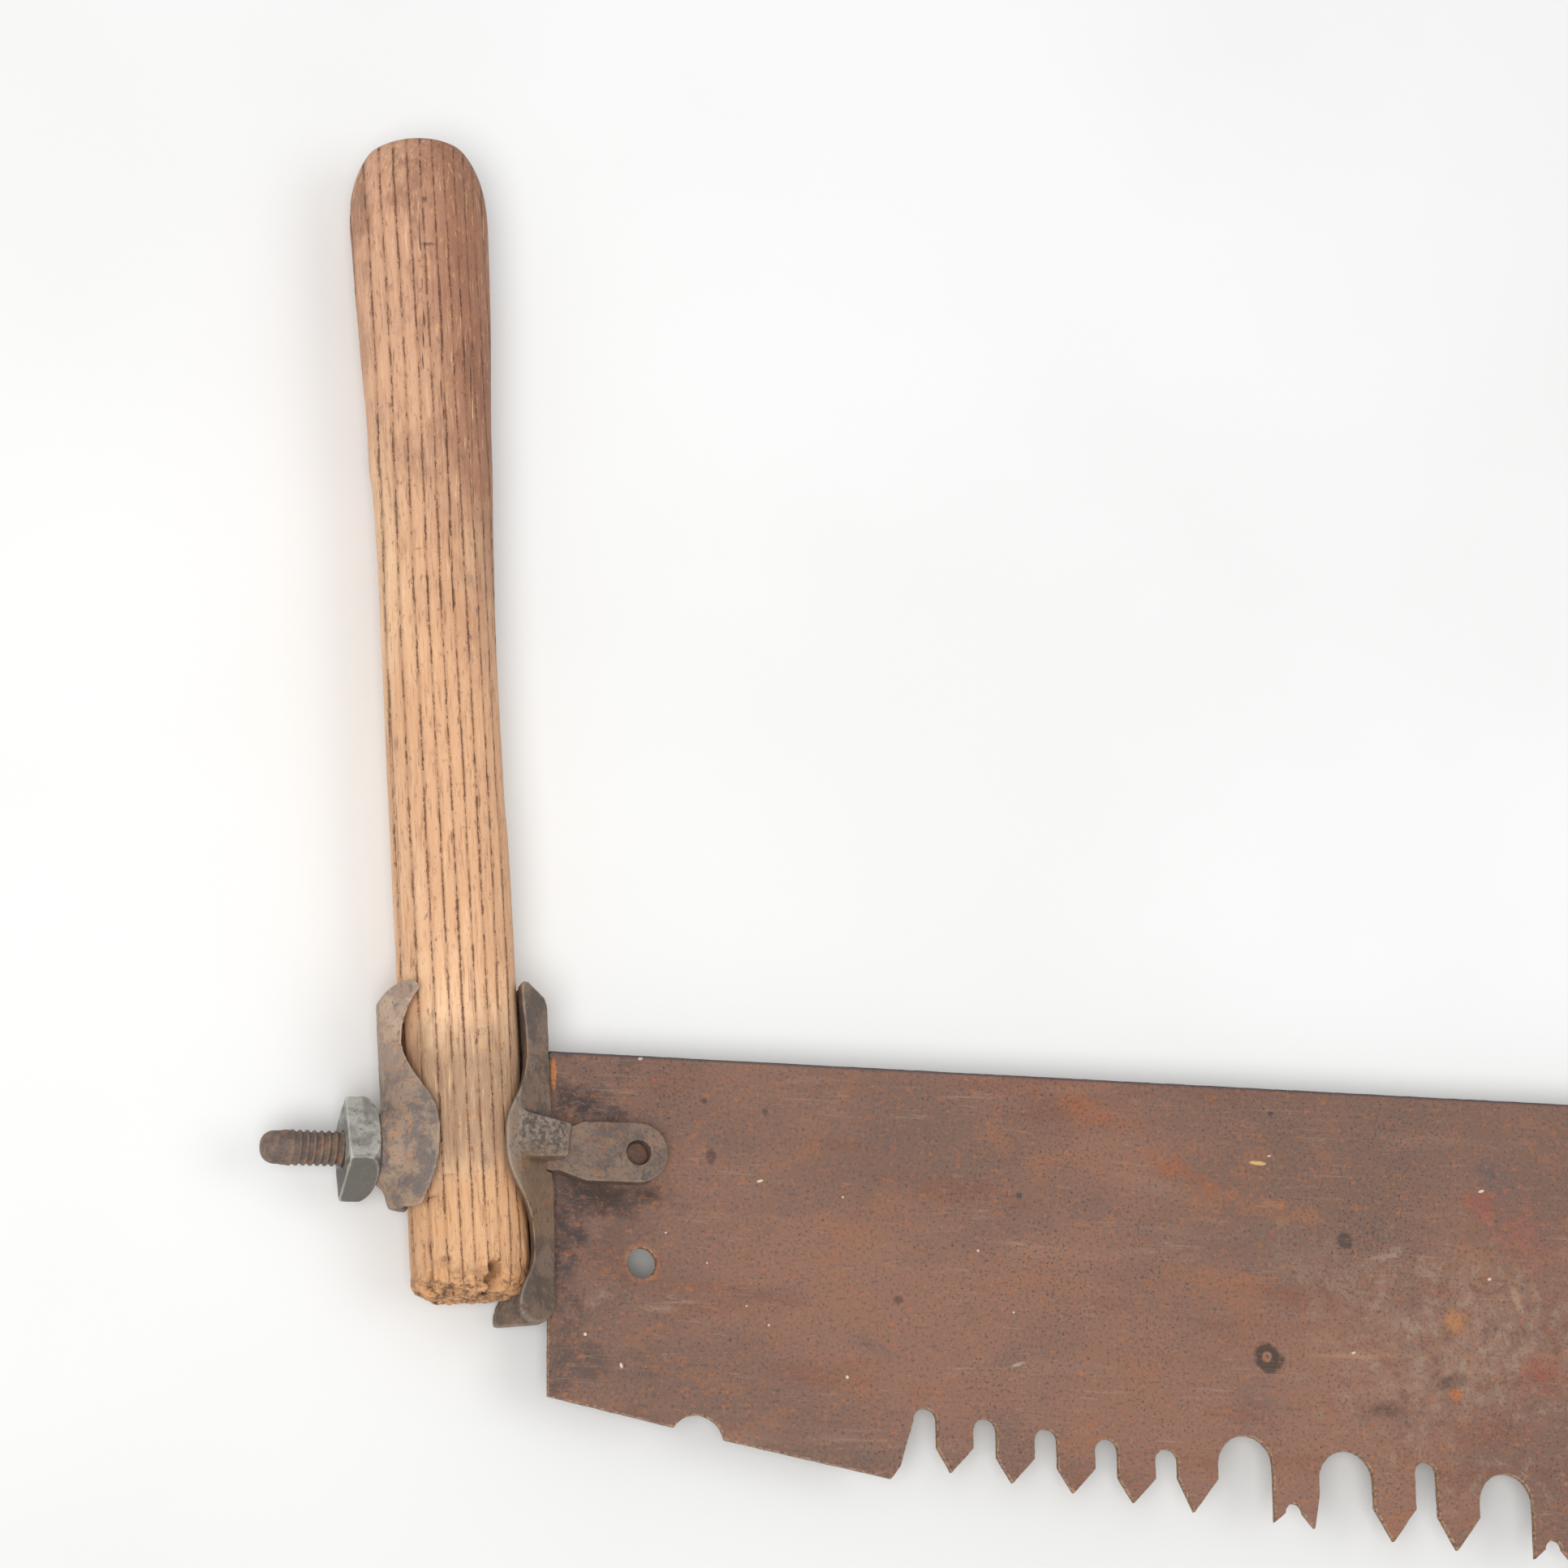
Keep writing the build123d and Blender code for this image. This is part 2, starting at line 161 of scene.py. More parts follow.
def weather(mesh, seed, waviness, grit, pit_depth, pit_size, pit_share):
    """Gives a skin an uneven, pitted surface, and stores how worn and how deep each point is."""
    points, normals = points_of(mesh), normals_of(mesh)
    joined = neighbours(mesh)
    depth = waviness * noise(points, 9.0, seed, 2) + grit * noise(points, 1.5, seed + 5, 2)
    field = noise(points, pit_size, seed + 11, 2)
    limit = np.quantile(field, 1 - pit_share)
    pits = ease(field, limit, limit + 0.28) * ease(noise(points, 11.0, seed + 17, 2), -0.35, 0.25)
    points += normals * (depth - pit_depth * pits)[:, None]
    set_points(mesh, points)
    calm = relaxed(points, joined, 24)
    worn = np.einsum("ij,ij->i", points - calm, normals)
    store(mesh, "worn", relaxed(worn, joined, 2)[:, 0])
    store(mesh, "pit", pits)
    return mesh


# ---------------------------------------------------------------- materials
def srgb(red, green, blue):
    """Shader colour of an 8-bit screen colour."""
    def linear(value):
        value /= 255
        return value / 12.92 if value <= 0.04045 else ((value + 0.055) / 1.055) ** 2.4
    return (linear(red), linear(green), linear(blue), 1.0)


class Graph:
    """Short-hand for one material's node graph; positions are in metres."""

    def __init__(self, name, specular=0.35):
        self.material = bpy.data.materials.new(name)
        self.material.use_nodes = True
        self.tree = self.material.node_tree
        self.shader = self.tree.nodes["Principled BSDF"]
        self.shader.inputs["Specular IOR Level"].default_value = specular
        self.where = self.node("ShaderNodeTexCoord").outputs["Object"]
        self.uneven = None

    def node(self, kind, **settings):
        made = self.tree.nodes.new(kind)
        for key, value in settings.items():
            setattr(made, key, value)
        return made

    def feed(self, socket, value):
        if isinstance(value, bpy.types.NodeSocket):
            self.tree.links.new(value, socket)
        else:
            socket.default_value = value

    def math(self, operation, first, second=0.0):
        made = self.node("ShaderNodeMath", operation=operation)
        self.feed(made.inputs[0], first)
        self.feed(made.inputs[1], second)
        return made.outputs[0]

    def noise(self, scale, detail=2.0, rough=0.5, stretch=(1, 1, 1), shift=(0, 0, 0), twist=0.0, turn=0.0):
        mapping = self.node("ShaderNodeMapping")
        self.feed(mapping.inputs["Vector"], self.where)
        mapping.inputs["Scale"].default_value = stretch
        mapping.inputs["Location"].default_value = shift
        mapping.inputs["Rotation"].default_value = (0, 0, turn)
        made = self.node("ShaderNodeTexNoise")
        self.feed(made.inputs["Vector"], mapping.outputs[0])
        made.inputs["Scale"].default_value = scale
        made.inputs["Detail"].default_value = detail
        made.inputs["Roughness"].default_value = rough
        made.inputs["Distortion"].default_value = twist
        return made.outputs[0]

    def ease(self, value, low, high, out_low=0.0, out_high=1.0):
        made = self.node("ShaderNodeMapRange", interpolation_type="SMOOTHSTEP")
        for socket, given in zip(made.inputs, (value, low, high, out_low, out_high)):
            self.feed(socket, given)
        return made.outputs[0]

    def mix(self, below, above, share):
        made = self.node("ShaderNodeMix", data_type="RGBA", blend_type="MIX")
        self.feed(made.inputs[0], share)
        self.feed(made.inputs[6], below)
        self.feed(made.inputs[7], above)
        return made.outputs[2]

    def field(self, name):
        made = self.node("ShaderNodeAttribute", attribute_name=name)
        return made.outputs["Fac"]

    def axis(self, name):
        made = self.node("ShaderNodeSeparateXYZ")
        self.feed(made.inputs[0], self.where)
        return made.outputs[name]

    def window(self, value, low, high, soft):
        """1 while a value is between two limits, fading to 0 outside them."""
        rising = self.ease(value, low - soft, low)
        return self.math("MULTIPLY", rising, self.ease(value, high + soft, high))

    def spot(self, centre, size, soft, wobble=0.0, turn=0.0):
        """1 inside an ellipse round a point, fading to 0 over its outer part."""
        mapping = self.node("ShaderNodeMapping", vector_type="TEXTURE")
        self.feed(mapping.inputs["Vector"], self.where)
        mapping.inputs["Location"].default_value = centre
        mapping.inputs["Rotation"].default_value = (0, 0, turn)
        mapping.inputs["Scale"].default_value = size
        length = self.node("ShaderNodeVectorMath", operation="LENGTH")
        self.feed(length.inputs[0], mapping.outputs[0])
        reach = length.outputs["Value"]
        if wobble:
            if self.uneven is None:
                self.uneven = self.math("SUBTRACT", self.noise(150, 4, 0.7), 0.5)
            reach = self.math("ADD", reach, self.math("MULTIPLY", self.uneven, 4 * wobble))
        return self.ease(reach, 1 - soft, 1.0, 1.0, 0.0)

    def finish(self, colour, roughness, height=None, relief=0.0002, strength=1.0):
        self.feed(self.shader.inputs["Base Color"], colour)
        self.feed(self.shader.inputs["Roughness"], roughness)
        if height is not None:
            bump = self.node("ShaderNodeBump")
            bump.inputs["Strength"].default_value = strength
            bump.inputs["Distance"].default_value = relief
            self.feed(bump.inputs["Height"], height)
            self.feed(self.shader.inputs["Normal"], bump.outputs[0])
        return self.material


def iron(name, base, other, dark, orange, bright, seed, pitted=0.5, rusty=0.5, edge_share=0.5,
         specular=0.35, local=None):
    """Old iron: two patina tones, dark pits, orange bloom and lighter worn edges. local adds
    one piece's own patches or painted shade: it takes the graph and a colour and gives a colour."""
    g = Graph(name, specular)
    shift = (seed * 1.7, seed * 0.9, seed * 0.4)
    patches = g.noise(95, 6, 0.72, shift=shift, twist=0.4)
    colour = g.mix(base, other, g.ease(patches, 0.42, 0.56))
    if local:
        colour = local(g, colour)
    where_rusty = g.noise(110, 3, 0.6, shift=(seed, 2, 5))
    bloom = g.math("ADD", g.noise(420, 5, 0.7, shift=shift), g.math("MULTIPLY", where_rusty, 0.6))
    colour = g.mix(colour, orange, g.ease(bloom, 0.90 - 0.10 * rusty, 1.05 - 0.10 * rusty, 0.0, 0.65))
    fine = g.noise(1000, 4, 0.7, shift=shift)
    colour = g.mix(colour, dark, g.ease(fine, 0.62 - 0.09 * pitted, 0.74 - 0.09 * pitted, 0.0, 0.62))
    colour = g.mix(colour, dark, g.ease(g.field("pit"), 0.1, 0.9, 0.0, 0.55))
    grain = g.noise(2400, 2, 0.6, shift=shift)
    colour = g.mix(colour, g.mix(dark, bright, grain), 0.20)
    edge = g.math("ADD", g.field("worn"), g.math("MULTIPLY", g.math("SUBTRACT", fine, 0.5), 0.16))
    colour = g.mix(colour, bright, g.ease(edge, 0.08, 0.34, 0.0, edge_share))
    colour = g.mix(colour, dark, g.ease(g.field("worn"), -0.06, -0.24, 0.0, 0.6))
    roughness = g.ease(fine, 0.3, 0.7, 0.50, 0.76)
    height = g.math("ADD", g.math("MULTIPLY", fine, -0.7), g.math("MULTIPLY", grain, -0.3))
    return g.finish(colour, roughness, height, 0.00030, 0.85)


# ---------------------------------------------------------------- both ends' own frames
class End:
    """Where one end's pin, bolt and grip are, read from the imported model."""

    def __init__(self, side):
        self.side = side
        joints = {joint["name"]: joint for joint in frame["joints"]}
        self.outward = Vector(joints[f"{side}_back_saddle_slide"]["axis"]).normalized()
        low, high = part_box(f"{side}_hitch_pin")
        self.pin = (low + high) / 2
        self.pin.z = PLATE_MIDDLE
        self.up = Vector((0, 0, 1)) if side == "left" else Vector((0, 0, -1))

    def bolt_matrix(self):
        """Local z runs outwards along the bolt from the pin, local x is the saw's thickness."""
        z = self.outward
        x = self.up
        y = z.cross(x)
        rotation = Matrix((x, y, z)).transposed()
        return Matrix.Translation(self.pin) @ rotation.to_4x4()

    def grip_matrix(self):
        """Local y runs up the grip from the bolt, local x towards the blade."""
        along = self.up.z
        centre = self.pin + Vector((along * GRIP_CENTRE[0], GRIP_CENTRE[1], 0)) * MM
        inward = Vector((along * math.cos(GRIP_LEAN), math.sin(GRIP_LEAN), 0))
        z = self.up
        y = z.cross(inward)
        rotation = Matrix((inward, y, z)).transposed()
        return Matrix.Translation(centre) @ rotation.to_4x4()


# the grip's centre from the left pin, where its bore is, and how far it leans
GRIP_CENTRE = (-51.08, -1.52)
BORE_FROM_PIN = 51.1
GRIP_LEAN = math.radians(3.5)
plate_low, plate_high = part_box("blade")
PLATE_MIDDLE = (plate_low.z + plate_high.z) / 2
ends = [End("left"), End("right")]


# ---------------------------------------------------------------- blade
PLATE_EDGE = 0.28
EDGE_STEP = 1.6


def flat_loops(source):
    """The outlines of a plate's upper face, longest first, as rows of x, y in millimetres."""
    work = bmesh.new()
    work.from_mesh(source)
    bmesh.ops.remove_doubles(work, verts=work.verts, dist=1e-6)
    work.normal_update()
    top = [face for face in work.faces if face.normal.z > 0.99]
    inside = {face.index for face in top}
    onward = {}
    for face in top:
        for loop in face.loops:
            others = [f for f in loop.edge.link_faces if f is not face and f.index in inside]
            if not others:
                onward[loop.vert.index] = loop.link_loop_next.vert.index
    work.verts.ensure_lookup_table()
    loops = []
    while onward:
        start = next(iter(onward))
        chain, at = [], start
        while at in onward:
            chain.append(work.verts[at].co.to_2d() / MM)
            at = onward.pop(at)
        loops.append(np.array(chain))
    work.free()
    return sorted(loops, key=len, reverse=True)


def divided(loop, step):
    """A closed outline with its long runs cut into short ones."""
    rows = []
    for here, there in zip(loop, np.roll(loop, -1, axis=0)):
        pieces = max(1, int(np.linalg.norm(there - here) / step))
        rows += [here + (there - here) * k / pieces for k in range(pieces)]
    return np.array(rows)


def inset(loop, distance):
    """A closed outline moved to its left, corners kept sharp up to a limit."""
    before = loop - np.roll(loop, 1, axis=0)
    after = np.roll(before, -1, axis=0)
    turn = []
    for step in (before, after):
        step = step / np.linalg.norm(step, axis=1)[:, None]
        turn.append(np.column_stack([-step[:, 1], step[:, 0]]))
    middle = turn[0] + turn[1]
    length = np.linalg.norm(middle, axis=1)
    middle /= np.maximum(length, 1e-6)[:, None]
    reach = distance / np.clip(length / 2, 0.45, 1)
    return loop + middle * reach[:, None]


def blade_mesh():
    """The plate with broken, slightly uneven edges all round and in its holes."""
    half = (plate_high.z - plate_low.z) / 2 / MM
    middle = PLATE_MIDDLE / MM
    verts, faces, rings = [], [], []
    for loop in flat_loops(frame["nodes"]["blade"].data):
        loop = divided(loop, EDGE_STEP)
        spots = np.column_stack([loop, np.zeros(len(loop))])
        uneven = 0.10 * (noise(spots, 2.6, 3, 2) - 0.9)
        worn = PLATE_EDGE * (1 + 0.5 * noise(spots, 5.0, 8, 2))
        low = len(verts)
        edge = inset(loop, 0.0) + (inset(loop, 1.0) - loop) * -uneven[:, None]
        shoulder = edge + (inset(loop, 1.0) - loop) * worn[:, None]
        levels = [(shoulder, -half), (edge, -half + PLATE_EDGE), (edge, half - PLATE_EDGE), (shoulder, half)]
        count = len(loop)
        for outline, z in levels:
            verts += [(x, y, middle + z) for x, y in outline]
        for level in range(3):
            for k in range(count):
                a, b = low + level * count + k, low + level * count + (k + 1) % count
                faces.append((a, b, b + count, a + count))
        rings.append((low, count, shoulder))
    order = [start + k for start, count, _ in rings for k in range(count)]
    outlines = [[Vector((x, y, 0)) for x, y in shoulder] for _, _, shoulder in rings]
    for a, b, c in tessellate_polygon(outlines):
        i, j, k = order[a], order[b], order[c]
        tops = [3 * next(n for s, n, _ in rings if s <= v < s + n) for v in (i, j, k)]
        faces.append((i + tops[0], j + tops[1], k + tops[2]))
        faces.append((k, j, i))
    mesh = bpy.data.meshes.new("blade_plate")
    mesh.from_pydata([tuple(c * MM for c in v) for v in verts], [], faces)
    work = bmesh.new()
    work.from_mesh(mesh)
    bmesh.ops.recalc_face_normals(work, faces=work.faces)
    work.to_mesh(mesh)
    work.free()
    return mesh


def blade_steel():
    g = Graph("blade_rust", specular=0.25)
    broad = g.noise(8, 4, 0.55, stretch=(1, 1.7, 1))
    colour = g.mix(srgb(138, 102, 86), srgb(120, 93, 81), g.ease(broad, 0.38, 0.62))
    clouds = g.noise(38, 5, 0.66, stretch=(1, 1.4, 1), shift=(3, 1, 0), twist=0.5)
    colour = g.mix(colour, srgb(150, 103, 76), g.ease(clouds, 0.52, 0.70, 0.0, 0.55))
    colour = g.mix(colour, srgb(110, 90, 83), g.ease(clouds, 0.46, 0.30, 0.0, 0.55))
    smears = g.noise(30, 4, 0.65, stretch=(0.30, 1.5, 1), shift=(7, 2, 0), turn=0.45)
    colour = g.mix(colour, srgb(122, 80, 62), g.ease(smears, 0.54, 0.68, 0.0, 0.45))
    colour = g.mix(colour, srgb(154, 122, 106), g.ease(smears, 0.44, 0.32, 0.0, 0.35))

    def marked(colour, marks):
        for centre, size, soft, wobble, tone, share, turn in marks:
            at = (plate_low.x + centre[0] * MM, plate_high.y + centre[1] * MM, PLATE_MIDDLE)
            mask = g.spot(at, (size[0] * MM, size[1] * MM, 0.02), soft, wobble, turn)
            if wobble > BROKEN_FROM:
                mask = g.math("MULTIPLY", mask, broken_up)
            colour = g.mix(colour, srgb(*tone), g.math("MULTIPLY", mask, share))
        return colour

    # rough, mottled skin on the lower right, then dark skin round both clamps and the stains
    mottle = g.noise(170, 5, 0.75, shift=(5, 9, 0))
    broken_up = g.ease(mottle, 0.40, 0.56, 0.25, 1.0)
    across = g.math("ABSOLUTE", g.axis("X"))
    rough = g.spot((plate_low.x + 0.300, plate_high.y - 0.085, PLATE_MIDDLE), (0.075, 0.062, 0.02), 0.9, 0.4)
    colour = g.mix(colour, srgb(158, 134, 116),
                   g.math("MULTIPLY", rough, g.ease(mottle, 0.52, 0.62, 0.0, 0.65)))
    colour = g.mix(colour, srgb(108, 74, 60),
                   g.math("MULTIPLY", rough, g.ease(mottle, 0.46, 0.38, 0.0, 0.60)))
    near = g.ease(across, plate_high.x - 0.050, plate_high.x - 0.004)
    patch = g.ease(g.noise(75, 5, 0.7, shift=(4, 4, 1)), 0.46, 0.62)
    colour = g.mix(colour, srgb(82, 69, 64), g.math("MULTIPLY", g.math("MULTIPLY", near, patch), 0.65))
    colour = marked(colour, STAINS)

    # orange bloom, dark and pale speckle, pits
    bloom = g.noise(420, 5, 0.72, stretch=(0.9, 1.1, 1), shift=(1, 5, 0))
    colour = g.mix(colour, srgb(170, 106, 66), g.ease(bloom, 0.54, 0.68, 0.0, 0.55))
    speck = g.noise(900, 4, 0.68, shift=(2, 8, 0))
    colour = g.mix(colour, srgb(78, 68, 68), g.ease(speck, 0.54, 0.66, 0.0, 0.66))
    colour = g.mix(colour, srgb(170, 138, 118), g.ease(speck, 0.42, 0.30, 0.0, 0.36))
    crowding = g.ease(g.noise(26, 3, 0.6, shift=(9, 3, 0)), 0.3, 0.7, 0.05, -0.04)
    pits = g.math("SUBTRACT", g.noise(1250, 2, 0.5, shift=(6, 3, 0)), crowding)
    colour = g.mix(colour, srgb(62, 56, 58), g.ease(pits, 0.62, 0.72, 0.0, 0.75))

    # fine scratches in three directions
    for turn, shift, share in SCRATCHES:
        lines = g.noise(200, 1.5, 0.5, stretch=(0.06, 2.0, 1), shift=(shift, shift, 0), turn=turn)
        thin = g.math("ABSOLUTE", g.math("SUBTRACT", lines, 0.5))
        broken = g.ease(g.noise(50, 2, 0.5, shift=(shift, 0, 2)), 0.52, 0.66)
        mark = g.math("MULTIPLY", g.ease(thin, 0.010, 0.0, 0.0, share), broken)
        colour = g.mix(colour, srgb(176, 146, 126), mark)

    colour = marked(colour, SPECKS)

    # dark line along the back, worn light line along the other edges
    back = g.ease(g.axis("Y"), plate_high.y - 0.0013, plate_high.y - 0.0004, 0.0, 0.75)
    colour = g.mix(colour, srgb(66, 64, 70), back)
    facing = g.node("ShaderNodeSeparateXYZ")
    g.feed(facing.inputs[0], g.node("ShaderNodeNewGeometry").outputs["True Normal"])
    side = g.ease(g.math("ABSOLUTE", facing.outputs["Z"]), 0.98, 0.80)
    rim = g.mix(srgb(176, 142, 112), srgb(116, 90, 76), g.ease(speck, 0.42, 0.58))
    colour = g.mix(colour, rim, g.math("MULTIPLY", side, g.ease(back, 0.0, 0.5, 0.85, 0.0)))
    roughness = g.ease(speck, 0.3, 0.7, 0.50, 0.76)
    height = g.math("SUBTRACT", g.math("MULTIPLY", speck, -0.7), g.math("MULTIPLY", pits, 0.5))
    return g.finish(colour, roughness, height, 0.00016, 0.7)


# direction, pattern offset and strength of each set of scratches
SCRATCHES = ((0.55, 11, 0.32), (-0.9, 17, 0.24), (1.3, 23, 0.22))

# (x, y) from the blade's upper left corner, half sizes, softness, wobble, colour, share, turn
BROKEN_FROM = 0.45
STAINS = [
    # grey, mottled lower right; red-brown bands; pink and blue tints
    ((292, -82), (62, 44), 0.9, 0.5, (148, 124, 108), 0.40, 0.2),
    ((250, -58), (34, 16), 0.9, 0.6, (146, 120, 104), 0.50, -0.4),
    ((172, -10), (22, 6), 0.9, 0.7, (156, 92, 60), 0.60, -0.35),
    ((203, -29), (18, 6), 0.9, 0.7, (150, 90, 62), 0.60, -0.55),
    ((232, -38), (22, 5), 0.9, 0.6, (166, 108, 74), 0.50, -0.20),
    ((313, -42), (24, 14), 0.9, 0.6, (150, 92, 78), 0.55, -0.5),
    ((300, -33), (10, 5), 0.9, 0.6, (150, 80, 66), 0.70, -0.3),
    ((318, -88), (12, 9), 0.9, 0.6, (140, 70, 56), 0.65, 0.3),
    ((300, -106), (24, 10), 0.9, 0.6, (126, 76, 58), 0.60, 0.1),
    ((306, -24), (9, 6), 0.9, 0.5, (84, 84, 88), 0.65, 0.0),
    # dark skin round the fork, at the blade's end and beside the lower part of the saddle
    ((9, -15.5), (16, 7), 0.8, 0.6, (62, 54, 54), 0.90, -0.12),
    ((20, -18), (12, 4.5), 0.8, 0.6, (66, 56, 55), 0.85, -0.2),
    ((19, -43), (27, 8.5), 0.95, 0.4, (58, 46, 42), 0.90, 0.0),
    ((5, -52), (9, 16), 0.9, 0.6, (66, 56, 55), 0.85, 0.0),
    ((4, -66), (8, 14), 0.9, 0.6, (72, 62, 60), 0.80, 0.0),
    ((3, -92), (7, 18), 0.9, 0.5, (92, 76, 70), 0.60, 0.0),
    # rust streak at the corner and rust round the empty hole
    ((1.3, -7), (1.2, 6.5), 0.5, 0.2, (190, 118, 62), 0.85, 0.0),
    ((28.2, -62.6), (6.4, 6.6), 0.35, 0.15, (176, 106, 66), 0.60, 0.0),
    # scuffs, streaks and pale marks
    ((15.7, -73.5), (5, 3), 0.8, 0.5, (156, 136, 122), 0.55, 0.3),
    ((33, -75.8), (9, 1.8), 0.9, 0.4, (156, 132, 116), 0.55, -0.05),
    ((254, -83), (26, 1.3), 0.9, 0.3, (166, 126, 96), 0.60, 0.03),
    ((266, -52), (12, 2.2), 0.9, 0.5, (164, 144, 128), 0.60, 0.3),
    ((312, -64), (2.0, 6.5), 0.8, 0.4, (172, 142, 118), 0.60, 0.35),
    ((289.5, -71.7), (6, 5), 0.7, 0.4, (172, 118, 76), 0.75, 0.0),
    ((289, -94), (3.2, 2.2), 0.7, 0.4, (178, 106, 62), 0.75, 0.0),
    ((226.2, -23.9), (3.4, 0.8), 0.4, 0.2, (214, 172, 112), 0.95, -0.05),
    ((145, -89), (3.0, 0.7), 0.6, 0.3, (168, 150, 136), 0.80, 0.3),
    # dark stains and spots
    ((226.5, -84.5), (6.0, 5.0), 0.3, 0.35, (70, 56, 50), 0.90, 0.0),
    ((226.3, -84.2), (2.0, 2.0), 0.4, 0.2, (148, 112, 92), 0.90, 0.0),
    ((226.3, -84.2), (0.9, 0.9), 0.5, 0.0, (86, 66, 58), 0.80, 0.0),
    ((254.2, -47.2), (3.2, 3.4), 0.4, 0.3, (76, 64, 60), 0.85, 0.0),
    ((265.5, -100.0), (11, 4.4), 0.8, 0.6, (78, 60, 55), 0.85, 0.10),
    ((285.5, -91.0), (9, 3.0), 0.8, 0.6, (82, 64, 57), 0.75, 0.35),
    ((49.6, -29.7), (2.0, 3.2), 0.6, 0.3, (84, 60, 54), 0.75, 0.0),
    ((47.7, -13.0), (1.3, 1.2), 0.6, 0.2, (72, 60, 56), 0.75, 0.0),
    ((66.7, -15.3), (1.3, 1.3), 0.6, 0.2, (78, 62, 58), 0.70, 0.0),
    ((107.7, -70.8), (2.4, 1.8), 0.6, 0.3, (86, 62, 56), 0.70, 0.0),
    ((147.0, -37.5), (1.2, 1.2), 0.6, 0.2, (70, 66, 72), 0.80, 0.0),
    ((231.0, -8.0), (1.4, 1.0), 0.6, 0.2, (66, 62, 66), 0.80, 0.0),
]
# white paint specks: x, y, half sizes
SPECKS = [((x, y), (wide, tall), 0.35, 0.1, (214, 200, 186), 0.9, 0.3) for x, y, wide, tall in [
    (27.9, -0.9, 0.9, 0.6), (64.8, -36.5, 1.2, 0.45), (90.7, -40.3, 0.4, 0.4), (35.6, -53.2, 0.4, 0.3),
    (48.2, -61.8, 0.3, 0.35), (60.3, -74.2, 0.35, 0.3), (67.1, -79.7, 0.45, 0.4), (11.1, -84.2, 0.6, 0.6),
    (91.2, -94.4, 0.55, 0.6), (133.3, -54.9, 0.5, 0.45), (144.2, -73.3, 0.4, 0.4), (22.0, -93.0, 0.5, 0.9),
    (255.3, -82.1, 0.9, 0.4), (301.9, -29.6, 1.2, 0.5), (303.0, -57.5, 0.8, 0.5), (230.0, -21.5, 0.8, 0.3),
]]


blade_piece = placed("blade_plate", blade_mesh(), "saw_frame", "blade", blade_steel())
blade_piece.data.polygons.foreach_set("use_smooth", [False] * len(blade_piece.data.polygons))


# ---------------------------------------------------------------- draw bolts
THREAD_START, THREAD_END = 36.0, 105.5
THREAD_PITCH = 25.4 / 12
SHANK_RADIUS, BULLET_RADIUS, BOLT_TIP = 5.35, 4.9, 111.8
THREAD_DEPTH = 0.95
SHANK_START = 29.0
NOSE_LENGTH, NOSE_RISE, NOSE_STEPS = 4.6, 4.5, 12
SEAT_ROUNDS = 70


def turned_mesh(name, profile, columns, change):
    """A closed turned skin about local z. profile is rows of radius and height; the first
    and last rows lie on the axis. change alters the radius at each angle and height."""
    radius, height = np.array(profile, float).T
    angles = np.linspace(0, 2 * math.pi, columns, endpoint=False)
    angle, r = np.meshgrid(angles, radius[1:-1])
    z = np.repeat(height[1:-1, None], columns, axis=1)
    r = change(r, angle, z)
    rows = np.column_stack([(r * np.cos(angle)).ravel(), (r * np.sin(angle)).ravel(), z.ravel()])
    verts = np.vstack([[[0, 0, height[0]]], rows, [[0, 0, height[-1]]]]) * MM
    count, last = len(radius) - 2, len(verts) - 1
    faces = []
    for k in range(columns):
        n = (k + 1) % columns
        faces.append((0, 1 + n, 1 + k))
        base = 1 + (count - 1) * columns
        faces.append((last, base + k, base + n))
        for row in range(count - 1):
            a, b = 1 + row * columns, 1 + (row + 1) * columns
            faces.append((a + k, a + n, b + n, b + k))
    mesh = bpy.data.meshes.new(name)
    mesh.from_pydata(verts.tolist(), [], faces)
    return mesh


def shank_mesh():
    """The bolt's shank: plain root, worn thread that fades out, and a rounded bullet tip."""
    steps = list(np.arange(SHANK_START, THREAD_END + 1.4, 0.16))
    nose = BOLT_TIP - NOSE_LENGTH
    profile = [(0, SHANK_START)] + [(SHANK_RADIUS, z) for z in steps]
    profile += [(BULLET_RADIUS, z) for z in np.arange(THREAD_END + 1.8, nose, 0.6)]
    for k in range(NOSE_STEPS):
        swing = math.pi / 2 * k / NOSE_STEPS
        profile.append((BULLET_RADIUS * math.cos(swing) ** 0.8, nose + NOSE_RISE * math.sin(swing)))
    profile.append((0, BOLT_TIP - 0.1))

    def cut(r, angle, z):
        turn = z / THREAD_PITCH + angle / (2 * math.pi)
        wave = np.abs((turn % 1.0) - 0.5) * 2
        root = ease(z, THREAD_START, THREAD_START + 3) * ease(z, THREAD_END + 0.6, THREAD_END - 6.0)
        depth = THREAD_DEPTH * np.clip(1.25 * wave - 0.12, 0, 1) * root
        taper = 0.5 * ease(z, THREAD_END - 2.5, THREAD_END + 1.5)
        return np.where(z < THREAD_END + 1.5, r - depth - taper, r)

    return turned_mesh("shank", profile, 72, cut)


def bolt_mesh(end):
    """Fork from the CAD bolt and a threaded shank, skinned together."""
    source = frame["nodes"][f"{end.side}_draw_bolt"].data.copy()
    matrix = end.bolt_matrix()
    work = bmesh.new()
    work.from_mesh(source)
    bmesh.ops.remove_doubles(work, verts=work.verts, dist=1e-6)
    cut_at = matrix @ Vector((0, 0, (THREAD_START - 3) * MM))
    whole = work.verts[:] + work.edges[:] + work.faces[:]
    bmesh.ops.bisect_plane(work, geom=whole, plane_co=cut_at, plane_no=end.outward, clear_outer=True)
    bmesh.ops.holes_fill(work, edges=[e for e in work.edges if e.is_boundary])
    shank = shank_mesh()
    shank.transform(matrix)
    work.from_mesh(shank)
    work.to_mesh(source)
    work.free()
    return reskinned(source, 0.30, 3)


